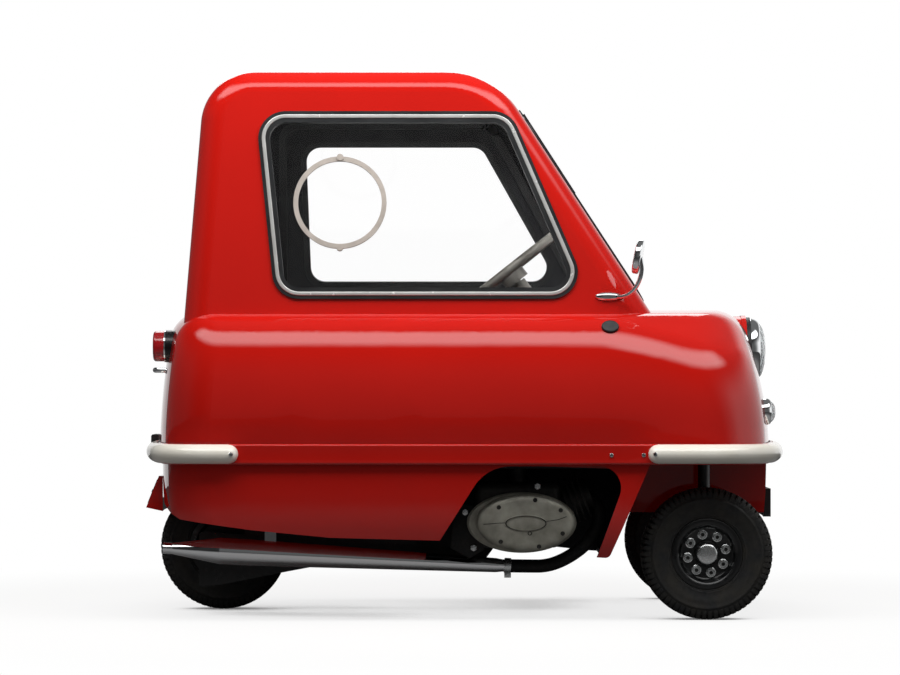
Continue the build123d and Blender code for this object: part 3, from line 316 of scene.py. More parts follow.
def raised(tree, place, pattern, size_mm, detail=4.0):
    """The height of a pattern of that feature size: a grain, cells with sunk edges, or straight flutes."""
    if pattern == "grain":
        return mottle(tree, place, size_mm, 0.0, 1.0, detail)
    inputs = {"Vector": place, "Scale": 1 / (size_mm * MM)}
    if pattern == "cells":
        return add_node(tree, "ShaderNodeTexVoronoi", inputs, feature="DISTANCE_TO_EDGE").outputs["Distance"]
    return add_node(tree, "ShaderNodeTexWave", inputs, wave_type="BANDS", bands_direction="Y").outputs["Fac"]


def new_finish(name, tones=None, gloss=None, relief=None, bumped="Normal", **constants):
    """A principled material. The constants are the shader's own sockets, with _ for a space in their names.

    tones: feature size in mm, two colours, then the noise's detail and the most of the second colour
    gloss: feature size in mm, then the roughness at its lowest and highest
    relief: pattern, feature size and depth in mm, strength, then the noise's detail
    """
    material = bpy.data.materials.new(name)
    material.use_nodes = True
    tree = material.node_tree
    tree.nodes.clear()
    inputs = {key.replace("_", " "): value for key, value in constants.items()}
    shader = add_node(tree, "ShaderNodeBsdfPrincipled", inputs)
    add_node(tree, "ShaderNodeOutputMaterial", {"Surface": shader.outputs["BSDF"]})
    place = add_node(tree, "ShaderNodeTexCoord").outputs["Object"]
    if tones:
        tree.links.new(two_tone(tree, place, *tones), shader.inputs["Base Color"])
    if gloss:
        tree.links.new(mottle(tree, place, *gloss), shader.inputs["Roughness"])
    if relief:
        pattern, size_mm, depth_mm, strength, *detail = relief
        height = raised(tree, place, pattern, size_mm, *detail)
        bump = add_node(
            tree, "ShaderNodeBump", {"Height": height, "Strength": strength, "Distance": depth_mm * MM}
        )
        tree.links.new(bump.outputs["Normal"], shader.inputs[bumped])
    return material


def polished_gelcoat():
    # Glass-fibre gelcoat, moulded and polished: deep gloss, a trace of flow mottling, very shallow orange peel
    red = bpy.context.scene.microcar_paint.body_red
    dark = [c * 0.86 for c in red[:3]] + [1.0]
    return new_finish(
        "polished_gelcoat", tones=(180, red, dark, 4.0, 0.35), relief=("grain", 55, 0.05, 1.0, 1.0),
        bumped="Coat Normal", Roughness=0.3, Specular_IOR_Level=0.0, Coat_Weight=1.0, Coat_Roughness=0.02,
        Coat_IOR=1.5,
    )


def cream_enamel():
    # Stove-enamelled steel bumper: warm white, glossy, slightly yellowed in patches
    white = bpy.context.scene.microcar_paint.bumper_white
    aged = [white[0] * 0.95, white[1] * 0.92, white[2] * 0.84, 1.0]
    return new_finish(
        "cream_enamel", tones=(70, white, aged, 4.0, 0.4), gloss=(25, 0.28, 0.4), IOR=1.5, Coat_Weight=0.7,
        Coat_Roughness=0.06,
    )


def clear_acrylic():
    # Cast acrylic sheet: clear and polished, its gloss a little uneven; light falls through it without a shadow
    material = new_finish(
        "clear_acrylic", gloss=(120, 0.0, 0.012), Base_Color=linear("#FFFFFF"), IOR=1.2,
        Transmission_Weight=1.0, Specular_IOR_Level=0.35,
    )
    tree = material.node_tree
    nodes = {node.type: node for node in tree.nodes}
    light = add_node(tree, "ShaderNodeLightPath")
    open_air = add_node(tree, "ShaderNodeBsdfTransparent", {"Color": linear("#FCFDFD")})
    sheet = nodes["BSDF_PRINCIPLED"].outputs["BSDF"]
    mix = add_node(
        tree, "ShaderNodeMixShader",
        {0: light.outputs["Is Shadow Ray"], 1: sheet, 2: open_air.outputs["BSDF"]},
    )
    tree.links.new(mix.outputs["Shader"], nodes["OUTPUT_MATERIAL"].inputs["Surface"])
    return material


PAINTS = {make.__name__: make for make in (polished_gelcoat, cream_enamel, clear_acrylic)}
FINISHES = {
    # The back of the glass-fibre laminate, brush painted black: dull, with the chopped strands showing through
    "painted_laminate": dict(
        tones=(40, "#16171A", "#222326"), gloss=(15, 0.5, 0.75), relief=("cells", 9, 0.5, 0.35),
        IOR=1.5, Specular_IOR_Level=0.35,
    ),
    # Extruded black rubber: satin, with a faint grey bloom
    "weatherstrip_rubber": dict(
        tones=(60, "#1B1C1D", "#2B2C2D"), gloss=(12, 0.38, 0.55), relief=("grain", 2.5, 0.1, 0.3),
        IOR=1.52, Specular_IOR_Level=0.4,
    ),
    # Moulded tyre rubber: matt charcoal, browner and duller where it has scuffed, with a fine mould grain
    "moulded_rubber": dict(
        tones=(35, "#1D1E20", "#2D2B27", 6.0), gloss=(8, 0.55, 0.8), relief=("grain", 1.8, 0.25, 0.4, 2.0),
        IOR=1.52, Specular_IOR_Level=0.3,
    ),
    # Pressed lamp glass: clear with moulded flutes that spread the light
    "fluted_glass": dict(
        relief=("flutes", 40, 1.2, 0.8), Base_Color=linear("#F4F7F8"), IOR=1.45, Transmission_Weight=0.8,
        Roughness=0.05,
    ),
    # Moulded red acrylic lens: translucent red over a bright reflector, with fine moulded prisms
    "red_acrylic": dict(
        gloss=(20, 0.12, 0.22), relief=("flutes", 22, 0.6, 0.5), Base_Color=linear("#B3141B"), IOR=1.49,
        Transmission_Weight=0.25, Coat_Weight=0.6, Coat_Roughness=0.04,
    ),
    # Bright nickel-chrome plate: mirror-like, with soft smears of polish
    "chrome_plate": dict(
        gloss=(30, 0.03, 0.09), relief=("grain", 40, 0.06, 0.6, 1.0), Base_Color=linear("#EDEFF0"),
        Metallic=1.0,
    ),
    # Silvered plastic bead in the window seals: bright satin, a little uneven
    "silver_trim": dict(tones=(35, "#E9E9E6", "#D8D8D5"), gloss=(12, 0.16, 0.28), Metallic=0.5, IOR=1.5),
    # Zinc-plated fixings: bright grey, slightly dull and uneven
    "zinc_steel": dict(tones=(2.5, "#DDDFDF", "#CBCECE"), gloss=(4, 0.2, 0.34), Metallic=1.0),
    # Black gloss enamel on pressed steel: deep black with a film of road dust that dulls the gloss
    "black_enamel": dict(
        tones=(30, "#090A0B", "#141516"), gloss=(10, 0.25, 0.5), relief=("grain", 5, 0.06, 0.4, 1.0),
        IOR=1.5, Specular_IOR_Level=0.3, Coat_Weight=0.4, Coat_Roughness=0.06,
    ),
    # Matt heat-proof black on the pipe and the cradle: sooty, with a rusty cast in patches
    "heat_black": dict(
        tones=(25, "#101112", "#1E1B19", 6.0), gloss=(6, 0.5, 0.75), relief=("grain", 2, 0.15, 0.4),
        IOR=1.45, Specular_IOR_Level=0.3,
    ),
    # Sand-cast aluminium: dull grey with a grain, darker where oil has crept over it
    "sand_cast_alloy": dict(
        tones=(45, "#ABA99D", "#77756B", 8.0), gloss=(9, 0.42, 0.62), relief=("grain", 1.6, 0.2, 0.45, 3.0),
        Metallic=0.35, IOR=1.5,
    ),
    # The crankcase and barrel: cast metal under oil and road dirt, nearly black. The same near-black is painted
    # shade on the screws' slots, the stud ends in the wheel nuts, and the engine cover's bolts, seams and badge
    # rim
    "oily_iron_and_shade": dict(
        tones=(20, "#141413", "#2A2825", 8.0), gloss=(7, 0.35, 0.65), relief=("grain", 2, 0.25, 0.5),
        Metallic=0.3,
    ),
    # Grey paint on the steering wheel's tube: satin, a little worn
    "hammered_grey": dict(
        tones=(30, "#807D76", "#68655F"), gloss=(8, 0.3, 0.48), relief=("grain", 3, 0.12, 0.5, 1.0),
        Metallic=0.35,
    ),
    # Moulded grey plastic of the vent ring: pale, satin, warm
    "vent_plastic": dict(tones=(25, "#C4BAB1", "#B3AAA1"), gloss=(6, 0.35, 0.5), IOR=1.49),
    # Leathercloth seat cover: black vinyl with an embossed grain, drawn a little coarse so that it shows
    "grained_vinyl": dict(
        tones=(80, "#1A1A1B", "#262627"), gloss=(20, 0.36, 0.5), relief=("cells", 5, 0.5, 0.5),
        IOR=1.5, Specular_IOR_Level=0.45,
    ),
    # Mirror glass: silvered, flat and clean
    "silvered_glass": dict(gloss=(25, 0.01, 0.03), Base_Color=linear("#EDF0F1"), Metallic=1.0),
    # Blank plate: matt black painted aluminium
    "plate_blank": dict(tones=(40, "#121314", "#1C1D1E"), gloss=(12, 0.4, 0.6), IOR=1.5),
}


def finish(name):
    """The material of that name, made the first time that it is asked for."""
    made = bpy.data.materials.get(name)
    if made:
        return made
    return PAINTS[name]() if name in PAINTS else new_finish(name, **FINISHES[name])


def plate(name, outline, thickness):
    """A flat shape on XY, from a ring whose points are moved to the outline, extruded along Z."""
    deselect()
    bpy.ops.mesh.primitive_circle_add(vertices=len(outline), radius=1.0, fill_type="NGON")
    piece = bpy.context.object
    piece.name = name
    for vertex, (x, y) in zip(piece.data.vertices, outline):
        vertex.co = (x, y, 0.0)
    bpy.ops.object.mode_set(mode="EDIT")
    bpy.ops.mesh.select_all(action="SELECT")
    bpy.ops.mesh.extrude_region_move(TRANSFORM_OT_translate={"value": (0, 0, thickness)})
    return close_edit(piece, merge=1e-7)


def scaled(points):
    """Millimetre pairs as metres."""
    return [(a * MM, b * MM) for a, b in points]


# Tyre section in mm, radius and offset from the wheel's middle: bead, wall with two raised rings, shoulder
TYRE_WALL = [
    (66.2, 28.6), (73.5, 29.2), (76.0, 31.4), (79.0, 31.6), (80.0, 33.4), (82.5, 33.4), (84.0, 33.2),
    (94.0, 36.4), (104.0, 37.6), (110.0, 37.4), (111.5, 38.0), (114.0, 37.9), (115.5, 36.6), (121.0, 35.2),
    (127.0, 31.8), (130.5, 26.0), (131.5, 18.0),
]
SHOULDER_LUG = [
    (118.0, 34.0), (119.0, 36.6), (124.5, 36.0), (129.8, 33.8), (134.2, 30.0), (136.8, 24.5), (137.3, 15.0),
    (130.0, 15.0), (126.0, 28.0),
]
TREAD_BLOCK = [(-5.5, 2.0), (-2.5, 11.5), (5.5, 11.5), (3.5, 2.0)]
LUG_WIDTH, BLOCK_HEIGHT, BLOCK_FOOT = 8.2 * MM, 7.0 * MM, 130.2 * MM


def make_tyre(name, wheel, count):
    """Carcass, two rows of shoulder lugs and two rows of tread blocks about one wheel's axle."""
    wall = scaled(TYRE_WALL)
    carcass = turned(name, wall + [(r, -h) for r, h in reversed(wall)], segments=96, loop=True)
    lug = plate("lug", scaled(SHOULDER_LUG), LUG_WIDTH)
    lug.data.transform(Matrix.Translation((0, 0, -LUG_WIDTH / 2)))
    lug.data.transform(Matrix.Rotation(math.radians(90), 4, "X"))
    block = plate("block", scaled(TREAD_BLOCK), BLOCK_HEIGHT)
    block.data.transform(Matrix(((0, 0, 1, BLOCK_FOOT), (1, 0, 0, 0), (0, 1, 0, 0), (0, 0, 0, 1))))
    mirrored = Matrix.Scale(-1, 4, (0, 0, 1))
    half_step = math.pi / count
    turns = around((0, 0, 0), (0, 0, 1), count)
    offset_turns = around((0, 0, 0), (0, 0, 1), count, start=half_step)
    lugs = repeat("lugs", lug, turns + [t @ mirrored for t in offset_turns])
    blocks = repeat("blocks", block, offset_turns + [t @ mirrored for t in turns])
    tyre = join(name, [carcass, lugs, blocks])
    lay(tyre, wheel, (0, -1, 0))
    return tyre


# Pressed wheel section in mm, radius and distance from the wheel's middle towards the outer face
RIM_SECTION = [
    (10.0, 25.0), (24.0, 25.0), (26.0, 22.0), (27.0, 17.0), (50.0, 17.0), (54.0, 18.5), (57.0, 22.0),
    (58.5, 28.5), (61.0, 31.5), (66.0, 32.6), (70.5, 33.0), (73.0, 32.0), (73.2, 29.6), (66.0, 29.0),
    (66.0, -29.0), (73.2, -29.6), (73.0, -32.4), (66.0, -32.6), (60.0, -31.0), (58.5, -20.0), (58.5, 8.0),
    (56.0, 11.0), (10.0, 11.0),
]
HUB_CAP = [(21.5, 24.6), (21.5, 36.0), (20.6, 38.4), (18.6, 39.6), (15.0, 40.2), (8.0, 40.8), (0.0, 41.0)]
WHEEL_NUT = [(8.6, 0.0), (8.6, 5.6), (7.4, 6.8), (4.4, 6.8), (4.2, 5.8), (4.2, 0.0)]
STUD_END = [(4.0, 0.0), (4.0, 4.4), (3.2, 5.0), (0.0, 5.0)]
WASHER = [(4.6, 0.0), (10.2, 0.0), (10.2, 1.2), (9.6, 1.6), (4.6, 1.6)]
NUT_HEIGHT, STUD_HEIGHT, WASHER_HEIGHT = 18.4, 17.2, 16.9
NUT_TURN = 0.22


def make_wheel(side, wheel, outer, body, tyre_node, rim_node, settings):
    """One front wheel: treaded tyre, black rim, hub cap and a ring of nuts on the side that faces outwards."""
    tyre = make_tyre(f"tyre_dressed_{side}", wheel, settings.lug_count)
    fit(tyre, body, "tyre_rubber", "moulded_rubber", tyre_node, angle=28)
    rim = turned(f"rim_dressed_{side}", scaled(RIM_SECTION), segments=72, loop=True)
    lay(rim, wheel, (0, outer, 0))
    fit(rim, body, "black_paint", "black_enamel", rim_node, angle=40)
    cap = turned(f"hub_cap_{side}", scaled(HUB_CAP), segments=48)
    lay(cap, wheel, (0, outer, 0))
    fit(cap, body, "bright_steel", "zinc_steel", angle=40)
    nut = turned("nut", scaled(WHEEL_NUT), segments=6, loop=True)
    stud = turned("stud", scaled(STUD_END), segments=16)
    washer = turned("washer", scaled(WASHER), segments=32, loop=True)
    for piece, height in ((nut, NUT_HEIGHT), (stud, STUD_HEIGHT), (washer, WASHER_HEIGHT)):
        piece.data.transform(Matrix.Translation((settings.nut_circle, 0, height * MM)))
    ring = around((0, 0, 0), (0, 0, 1), settings.nut_count, start=NUT_TURN)
    nuts = repeat("nuts", join("nut", [nut, washer]), ring)
    studs = repeat("studs", stud, ring)
    lay(nuts, wheel, (0, outer, 0))
    fit(nuts, body, "bright_steel", "zinc_steel").name = f"wheel_nuts_{side}"
    lay(studs, wheel, (0, outer, 0))
    # The stud ends sit sunk in the nuts' holes in near-black: painted shade in the holes
    fit(studs, body, "black_paint", "oily_iron_and_shade").name = f"wheel_studs_{side}"


class MicrocarWheels(bpy.types.PropertyGroup):
    lug_count: bpy.props.IntProperty(
        name="Tread lugs", description="Shoulder lugs round each tyre", default=66, min=24, max=120
    )
    nut_count: bpy.props.IntProperty(
        name="Wheel nuts", description="Nuts on each wheel", default=8, min=3, max=12
    )
    nut_circle: length_property("Nut circle", "Radius of the ring of wheel nuts", 0.0405)


class MICROCAR_OT_wheels(bpy.types.Operator):
    """Makes the treaded tyres, black rims, hub caps and wheel nuts"""
    bl_idname = "microcar.wheels"
    bl_label = "Wheels"

    def execute(self, context):
        settings = context.scene.microcar_wheels
        for side, outer, body in (("right", -1, "wheel_fr"), ("left", 1, "wheel_fl")):
            tyre_low, tyre_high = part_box(f"tyre_front_{side}")
            centre = (tyre_low + tyre_high) / 2
            make_wheel(side, centre, outer, body, f"tyre_front_{side}", f"rim_front_{side}", settings)
        low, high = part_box("tyre_rear")
        tyre = make_tyre("tyre_dressed_rear", (low + high) / 2, settings.lug_count)
        fit(tyre, "wheel_rear", "tyre_rubber", "moulded_rubber", "tyre_rear", angle=28)
        return {"FINISHED"}


SHELL_CORES = {
    "cabin_shell": ((-0.35, 0.10), (0.80, 0.95)),
    "hull_shell": ((-0.45, 0.42), (0.42, 0.55)),
    "tub_shell": ((-0.50, 0.48), (0.25, 0.29)),
    "door_panel": ((-0.20, 0.10), (0.45, 0.90)),
}
BAY_LOW, BAY_HIGH = Vector((-0.080, -0.450, 0.0)), Vector((0.352, -0.118, 0.318))


def faces_inwards(node, centre, normal):
    """True for the inner skin of a moulded shell and for the walls of the engine bay."""
    (x0, x1), (z0, z1) = SHELL_CORES[node]
    core = Vector((min(max(centre.x, x0), x1), 0.0, min(max(centre.z, z0), z1)))
    in_bay = node == "tub_shell" and all(a < c < b for a, c, b in zip(BAY_LOW, centre, BAY_HIGH))
    outer_skin = normal.y < -0.3 and centre.y < -0.40
    return (in_bay and not outer_skin) or (centre - core).dot(normal) < 0


# The crown of the hull's sides: an ellipse in section, from the height where it starts up to the shoulder
CROWN_START, CROWN_TOP, CROWN_END = 0.425, 0.640, 0.632
CROWN_SHARE = 0.39
CROWN_FOOT, CROWN_UNDER = 0.354, math.radians(7)    # below its start the side turns under towards the belt
CROWN_DIP, CROWN_DIP_START, CROWN_DIP_END = 0.080, 0.25, 0.66    # how far it comes down towards the nose
CROWN_STEEPEST = 0.85    # faces that look further up than this keep their shading
CROWN_EASE = (0.12, 0.5)    # how far a face looks sideways where the crown begins and where it is whole


def smooth_step(low, high, value):
    """0 below the low limit, 1 above the high one, and eased between them."""
    share = min(max((value - low) / (high - low), 0.0), 1.0)
    return share * share * (3 - 2 * share)


def crown_sides(skin):
    """Shades the sides of the hull with the moulding's slight crown, by the normals of its outer faces."""
    mesh = skin.data
    normals = [corner.vector.copy() for corner in mesh.corner_normals]
    for face in mesh.polygons:
        if face.material_index:
            continue
        for index in face.loop_indices:
            place = mesh.vertices[mesh.loops[index].vertex_index].co
            dip = CROWN_DIP * smooth_step(CROWN_DIP_START, CROWN_DIP_END, place.x)
            height = min(place.z + dip, CROWN_END)
            normal = normals[index]
            if height < CROWN_FOOT or abs(normal.z) > CROWN_STEEPEST:
                continue
            lean = math.asin(normal.z)
            share = smooth_step(*CROWN_EASE, abs(normal.y))
            if height < CROWN_START:
                lean -= share * CROWN_UNDER * (CROWN_START - height) / (CROWN_START - CROWN_FOOT)
            else:
                rise = math.asin((height - CROWN_START) / (CROWN_TOP - CROWN_START))
                lean += share * max(0.0, math.atan(CROWN_SHARE * math.tan(rise)) - lean)
            flat = Vector((normal.x, normal.y, 0.0)).normalized()
            normals[index] = flat * math.cos(lean) + Vector((0, 0, math.sin(lean)))
    mesh.normals_split_custom_set(normals)


class MICROCAR_OT_shells(bpy.types.Operator):
    """Paints the moulded shells red outside and black inside"""
    bl_idname = "microcar.shells"
    bl_label = "Body shells"

    def execute(self, context):
        for node in SHELL_CORES:
            skin = node_copy(node, f"{node}_skin")
            paint(skin, "polished_gelcoat", "painted_laminate")
            for face in skin.data.polygons:
                face.material_index = int(faces_inwards(node, face.center, face.normal))
            if node in ("hull_shell", "door_panel"):
                crown_sides(skin)
            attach(skin, "door" if node == "door_panel" else "car")
            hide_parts(node)
        dress("plate_plinth", "polished_gelcoat")
        return {"FINISHED"}


# Lamp sections in mm, radius and distance forward of the lamp's back
HEADLAMP_BEZEL = [
    (60.0, 0.0), (69.5, 0.8), (71.0, 4.0), (70.6, 12.0), (68.6, 20.0), (65.6, 26.0), (62.6, 29.2), (60.8, 29.6),
    (59.6, 28.4), (58.8, 25.5), (55.0, 20.0), (46.0, 12.5), (33.0, 7.0), (16.0, 3.8), (0.0, 3.4),
]
HEADLAMP_GASKET = [(60.0, -1.0), (71.8, -1.0), (72.0, 4.0), (71.8, 9.6), (60.0, 9.6)]
HEADLAMP_GLASS = [
    (60.2, 28.8), (58.6, 31.4), (54.0, 35.0), (45.0, 38.9), (32.0, 42.1), (16.0, 43.7), (0.0, 44.0),
]
HEADLAMP_BULB = [(9.0, 3.4), (9.0, 11.0), (8.0, 15.0), (5.0, 18.0), (0.0, 19.2)]
SIDE_LAMP_CUP = [
    (27.0, -12.0), (28.4, 0.0), (28.4, 4.0), (27.6, 8.5), (25.6, 12.6), (24.0, 13.8), (22.8, 13.2),
    (21.5, 10.8), (14.0, 6.6), (0.0, 5.0),
]
SIDE_LAMP_GLASS = [(23.0, 12.8), (21.5, 16.0), (18.0, 19.4), (12.0, 22.4), (6.0, 23.7), (0.0, 24.0)]
TAIL_RING = [(-0.2, 0.0), (1.6, 0.0), (1.6, 2.6), (0.0, 3.2)]    # outwards from the lens, and rearwards
LENS_WALL = 2.2 * MM
SIDE_LAMP_STANDS = 14 * MM


def lens_shell(name, profile):
    """A domed glass with a real wall, made as an open bowl and given its thickness."""
    glass = turned(name, scaled(profile), segments=64, capped=False)
    return apply_modifier(glass, "SOLIDIFY", thickness=LENS_WALL, offset=-1.0)


class MICROCAR_OT_lamps(bpy.types.Operator):
    """Makes the headlamp with its reflector, bulb and glass, the side lamps and the rings of the tail lamps"""
    bl_idname = "microcar.lamps"
    bl_label = "Lamps"

    def execute(self, context):
        low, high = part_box("headlamp_rim")
        back = Vector((low.x, 0.0, (low.z + high.z) / 2))
        bezel = lay(turned("headlamp_bezel", scaled(HEADLAMP_BEZEL), segments=96), back, (1, 0, 0))
        fit(bezel, "car", "chrome", "chrome_plate", "headlamp_rim", angle=40)
        gasket = turned("headlamp_gasket", scaled(HEADLAMP_GASKET), segments=96, loop=True)
        lay(gasket, back, (1, 0, 0))
        fit(gasket, "car", "black_rubber", "weatherstrip_rubber", angle=40)
        bulb = lay(turned("headlamp_bulb", scaled(HEADLAMP_BULB), segments=32), back, (1, 0, 0))
        fit(bulb, "car", "chrome", "chrome_plate", angle=40)
        glass = lay(lens_shell("headlamp_glass", HEADLAMP_GLASS), back, (1, 0, 0))
        fit(glass, "car", "lamp_glass", "fluted_glass", "headlamp_lens", angle=60)

        low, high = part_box("side_lamps")
        radius = (high.z - low.z) / 2
        cups, lenses = [], []
        for y in (low.y + radius, high.y - radius):
            face = Vector((high.x - SIDE_LAMP_STANDS, y, (low.z + high.z) / 2))
            cups.append(lay(turned("cup", scaled(SIDE_LAMP_CUP), segments=64), face, (1, 0, 0)))
            lenses.append(lay(lens_shell("lens", SIDE_LAMP_GLASS), face, (1, 0, 0)))
        fit(join("side_lamp_cups", cups), "car", "chrome", "chrome_plate", "side_lamps", angle=40)
        glasses = join("side_lamp_glasses", lenses)
        fit(glasses, "car", "lamp_glass", "fluted_glass", "side_lamp_lenses", angle=60)

        low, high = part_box("tail_lamp_lenses")
        radius = (high.z - low.z) / 2
        section = [(radius + out, back) for out, back in scaled(TAIL_RING)]
        rings = []
        for y in (low.y + radius, high.y - radius):
            foot = Vector((high.x, y, (low.z + high.z) / 2))
            rings.append(lay(turned("ring", section, segments=64, loop=True), foot, (-1, 0, 0)))
        fit(join("tail_lamp_rings", rings), "car", "chrome", "chrome_plate")
        return {"FINISHED"}


def oval_stack(name, steps, segments=96):
    """A casting built up in oval rings; each step is (half length, half height, shift, height) in metres."""
    deselect()
    long, short, shift, height = steps[0]
    bpy.ops.mesh.primitive_circle_add(vertices=segments, radius=1.0, fill_type="NGON")
    piece = bpy.context.object
    piece.name = name
    piece.scale = (long, short, 1.0)
    piece.location = (shift, 0.0, height)
    bpy.ops.object.transform_apply(location=True, rotation=True, scale=True)
    bpy.ops.object.mode_set(mode="EDIT")
    bpy.ops.mesh.select_all(action="SELECT")
    for (a0, b0, x0, z0), (a1, b1, x1, z1) in zip(steps, steps[1:]):
        bpy.ops.mesh.extrude_region_move(TRANSFORM_OT_translate={"value": (x1 - x0, 0, z1 - z0)})
        bpy.ops.transform.resize(value=(a1 / a0, b1 / b0, 1), center_override=(x1, 0, z1))
    return close_edit(piece, merge=1e-6)


def screws(name, body, places, radius):
    """Round-headed screws with slots that are black bars of painted shade; each place is a point on a surface
    and the way out of it.
    """
    dome = [(radius, -0.001), (radius, radius * 0.3), (radius * 0.8, radius * 0.5), (0.0, radius * 0.6)]
    head = turned("head", dome, segments=24)
    # The slot is a black bar standing proud of the head: painted shade in place of a cut groove
    slot = box(
        "slot", (-radius * 0.86, -radius * 0.12, radius * 0.3), (radius * 0.86, radius * 0.12, radius * 0.62)
    )
    frames = []
    for i, (point, out) in enumerate(places):
        upright = Vector(out).to_track_quat("Z", "Y").to_matrix().to_4x4()
        turn = Matrix.Rotation(0.5 + i * 1.1, 4, "Z")
        frames.append(Matrix.Translation(point) @ upright @ turn)
    fit(repeat(name, head, frames), body, "bright_steel", "zinc_steel")
    fit(repeat(f"{name}_slots", slot, frames), body, "black_paint", "oily_iron_and_shade")


# Engine cover in mm: joint flange, second flange, wall with a parting groove, rounded edge, face, badge frame
COVER_STEPS = [
    (114.0, 63.0, 0.0, 0.0), (114.0, 63.0, 0.0, 5.2), (112.8, 61.8, 0.0, 6.4), (110.8, 60.2, 0.6, 6.6),
    (110.4, 59.8, 0.8, 8.4), (112.0, 61.4, 0.8, 9.4), (112.0, 61.4, 0.8, 15.2), (110.8, 60.4, 1.4, 16.4),
    (104.0, 60.2, 7.2, 16.6), (103.0, 59.6, 8.0, 17.6), (102.4, 59.0, 8.0, 29.6), (101.0, 57.6, 8.0, 30.4),
    (101.0, 57.6, 8.0, 31.6), (102.0, 58.6, 8.0, 32.4), (101.2, 57.8, 8.0, 37.2), (98.6, 55.4, 8.0, 41.0),
    (93.6, 50.6, 8.0, 43.4), (86.0, 43.4, 8.0, 44.4), (62.0, 27.0, 8.0, 44.8), (43.6, 17.2, 8.0, 44.9),
    (43.0, 16.6, 8.0, 46.0), (41.4, 15.0, 8.0, 46.0), (40.8, 14.4, 8.0, 44.4), (20.0, 7.0, 8.0, 44.6),
]
# Screws on the face, mm forward and up from the middle of the flange
COVER_SCREWS = [
    (-48.0, 33.0), (27.0, 48.0), (16.0, -20.5), (-44.0, -38.0), (35.0, -48.0), (84.0, -21.0), (80.0, 27.0),
]
COVER_FACE = 44.5 * MM
BADGE_RIM = [(40.4, 44.0), (42.6, 44.0), (42.6, 46.4), (40.4, 46.4)]
BADGE_SHIFT, BADGE_FLATNESS = 8 * MM, 0.37
# Seam lines on the cover's face in mm, forward and up, drawn in near-black as painted shade
SEAMS = [
    [(-80.0, -2.0), (-66.0, -1.0), (-50.0, 0.5), (-34.0, 1.0)],
    [(50.0, 4.0), (66.0, 6.0), (80.0, 9.0), (92.0, 14.0)],
]
# A cover screw's cap in mm, radius and height, coloured near-black as painted shade for its recess
BOLT_RECESS = [(4.6, -1.0), (4.6, 0.4), (4.0, 0.9), (3.0, 0.9), (2.6, 0.3), (0.0, 0.2)]
# Gussets of the engine cradle: outline in mm forward and up, the face's place across the car and the thickness
GUSSETS = [
    ("inner", [(-112.0, 192.0), (-96.0, 132.0), (44.0, 120.0), (66.0, 150.0), (60.0, 200.0)], -238.0, 8.0),
    ("chain_case", [
        (-404.0, 190.0), (-404.0, 124.0), (-380.0, 112.0), (-100.0, 118.0), (-60.0, 130.0), (-60.0, 196.0),
    ], -104.0, 16.0),
    ("outer", [(-22.0, 242.0), (-30.0, 150.0), (10.0, 128.0), (40.0, 146.0), (34.0, 236.0)], -372.0, 6.0),
]
# Bright nuts on the engine: mm forward, up and out from the cover's joint
CASE_NUTS = [(0.4, 224.0, -2.0), (151.0, 278.0, -2.0), (18.0, 150.0, -2.0)]
CASE_NUT = [(7.4, -3.0), (7.4, 5.0), (6.4, 6.2), (4.0, 6.4), (3.6, 8.6), (0.0, 9.0)]
DOWNPIPE = [
    (92.0, -300.0, 108.6), (130.0, -300.0, 108.0), (176.0, -300.0, 108.0), (222.0, -300.0, 128.0),
    (262.0, -300.0, 160.0), (288.0, -300.0, 206.0), (276.0, -305.0, 246.0), (252.0, -310.0, 258.0),
]
DOWNPIPE_RADIUS = 14.0 * MM
CLAMP_BOLT = [(4.4, -9.0), (4.4, -4.6), (2.6, -4.2), (2.6, 8.0), (0.0, 8.6)]
CLAMP_SECTION = [(13.3, 8.0), (16.0, 8.0), (16.4, 9.0), (16.4, 21.0), (16.0, 22.0), (13.3, 22.0)]
SILENCER_FRONT = Vector((0.105, -0.300, 0.108))
SILENCER_AXIS = Vector((-0.739, 0.0, 0.038)).normalized()


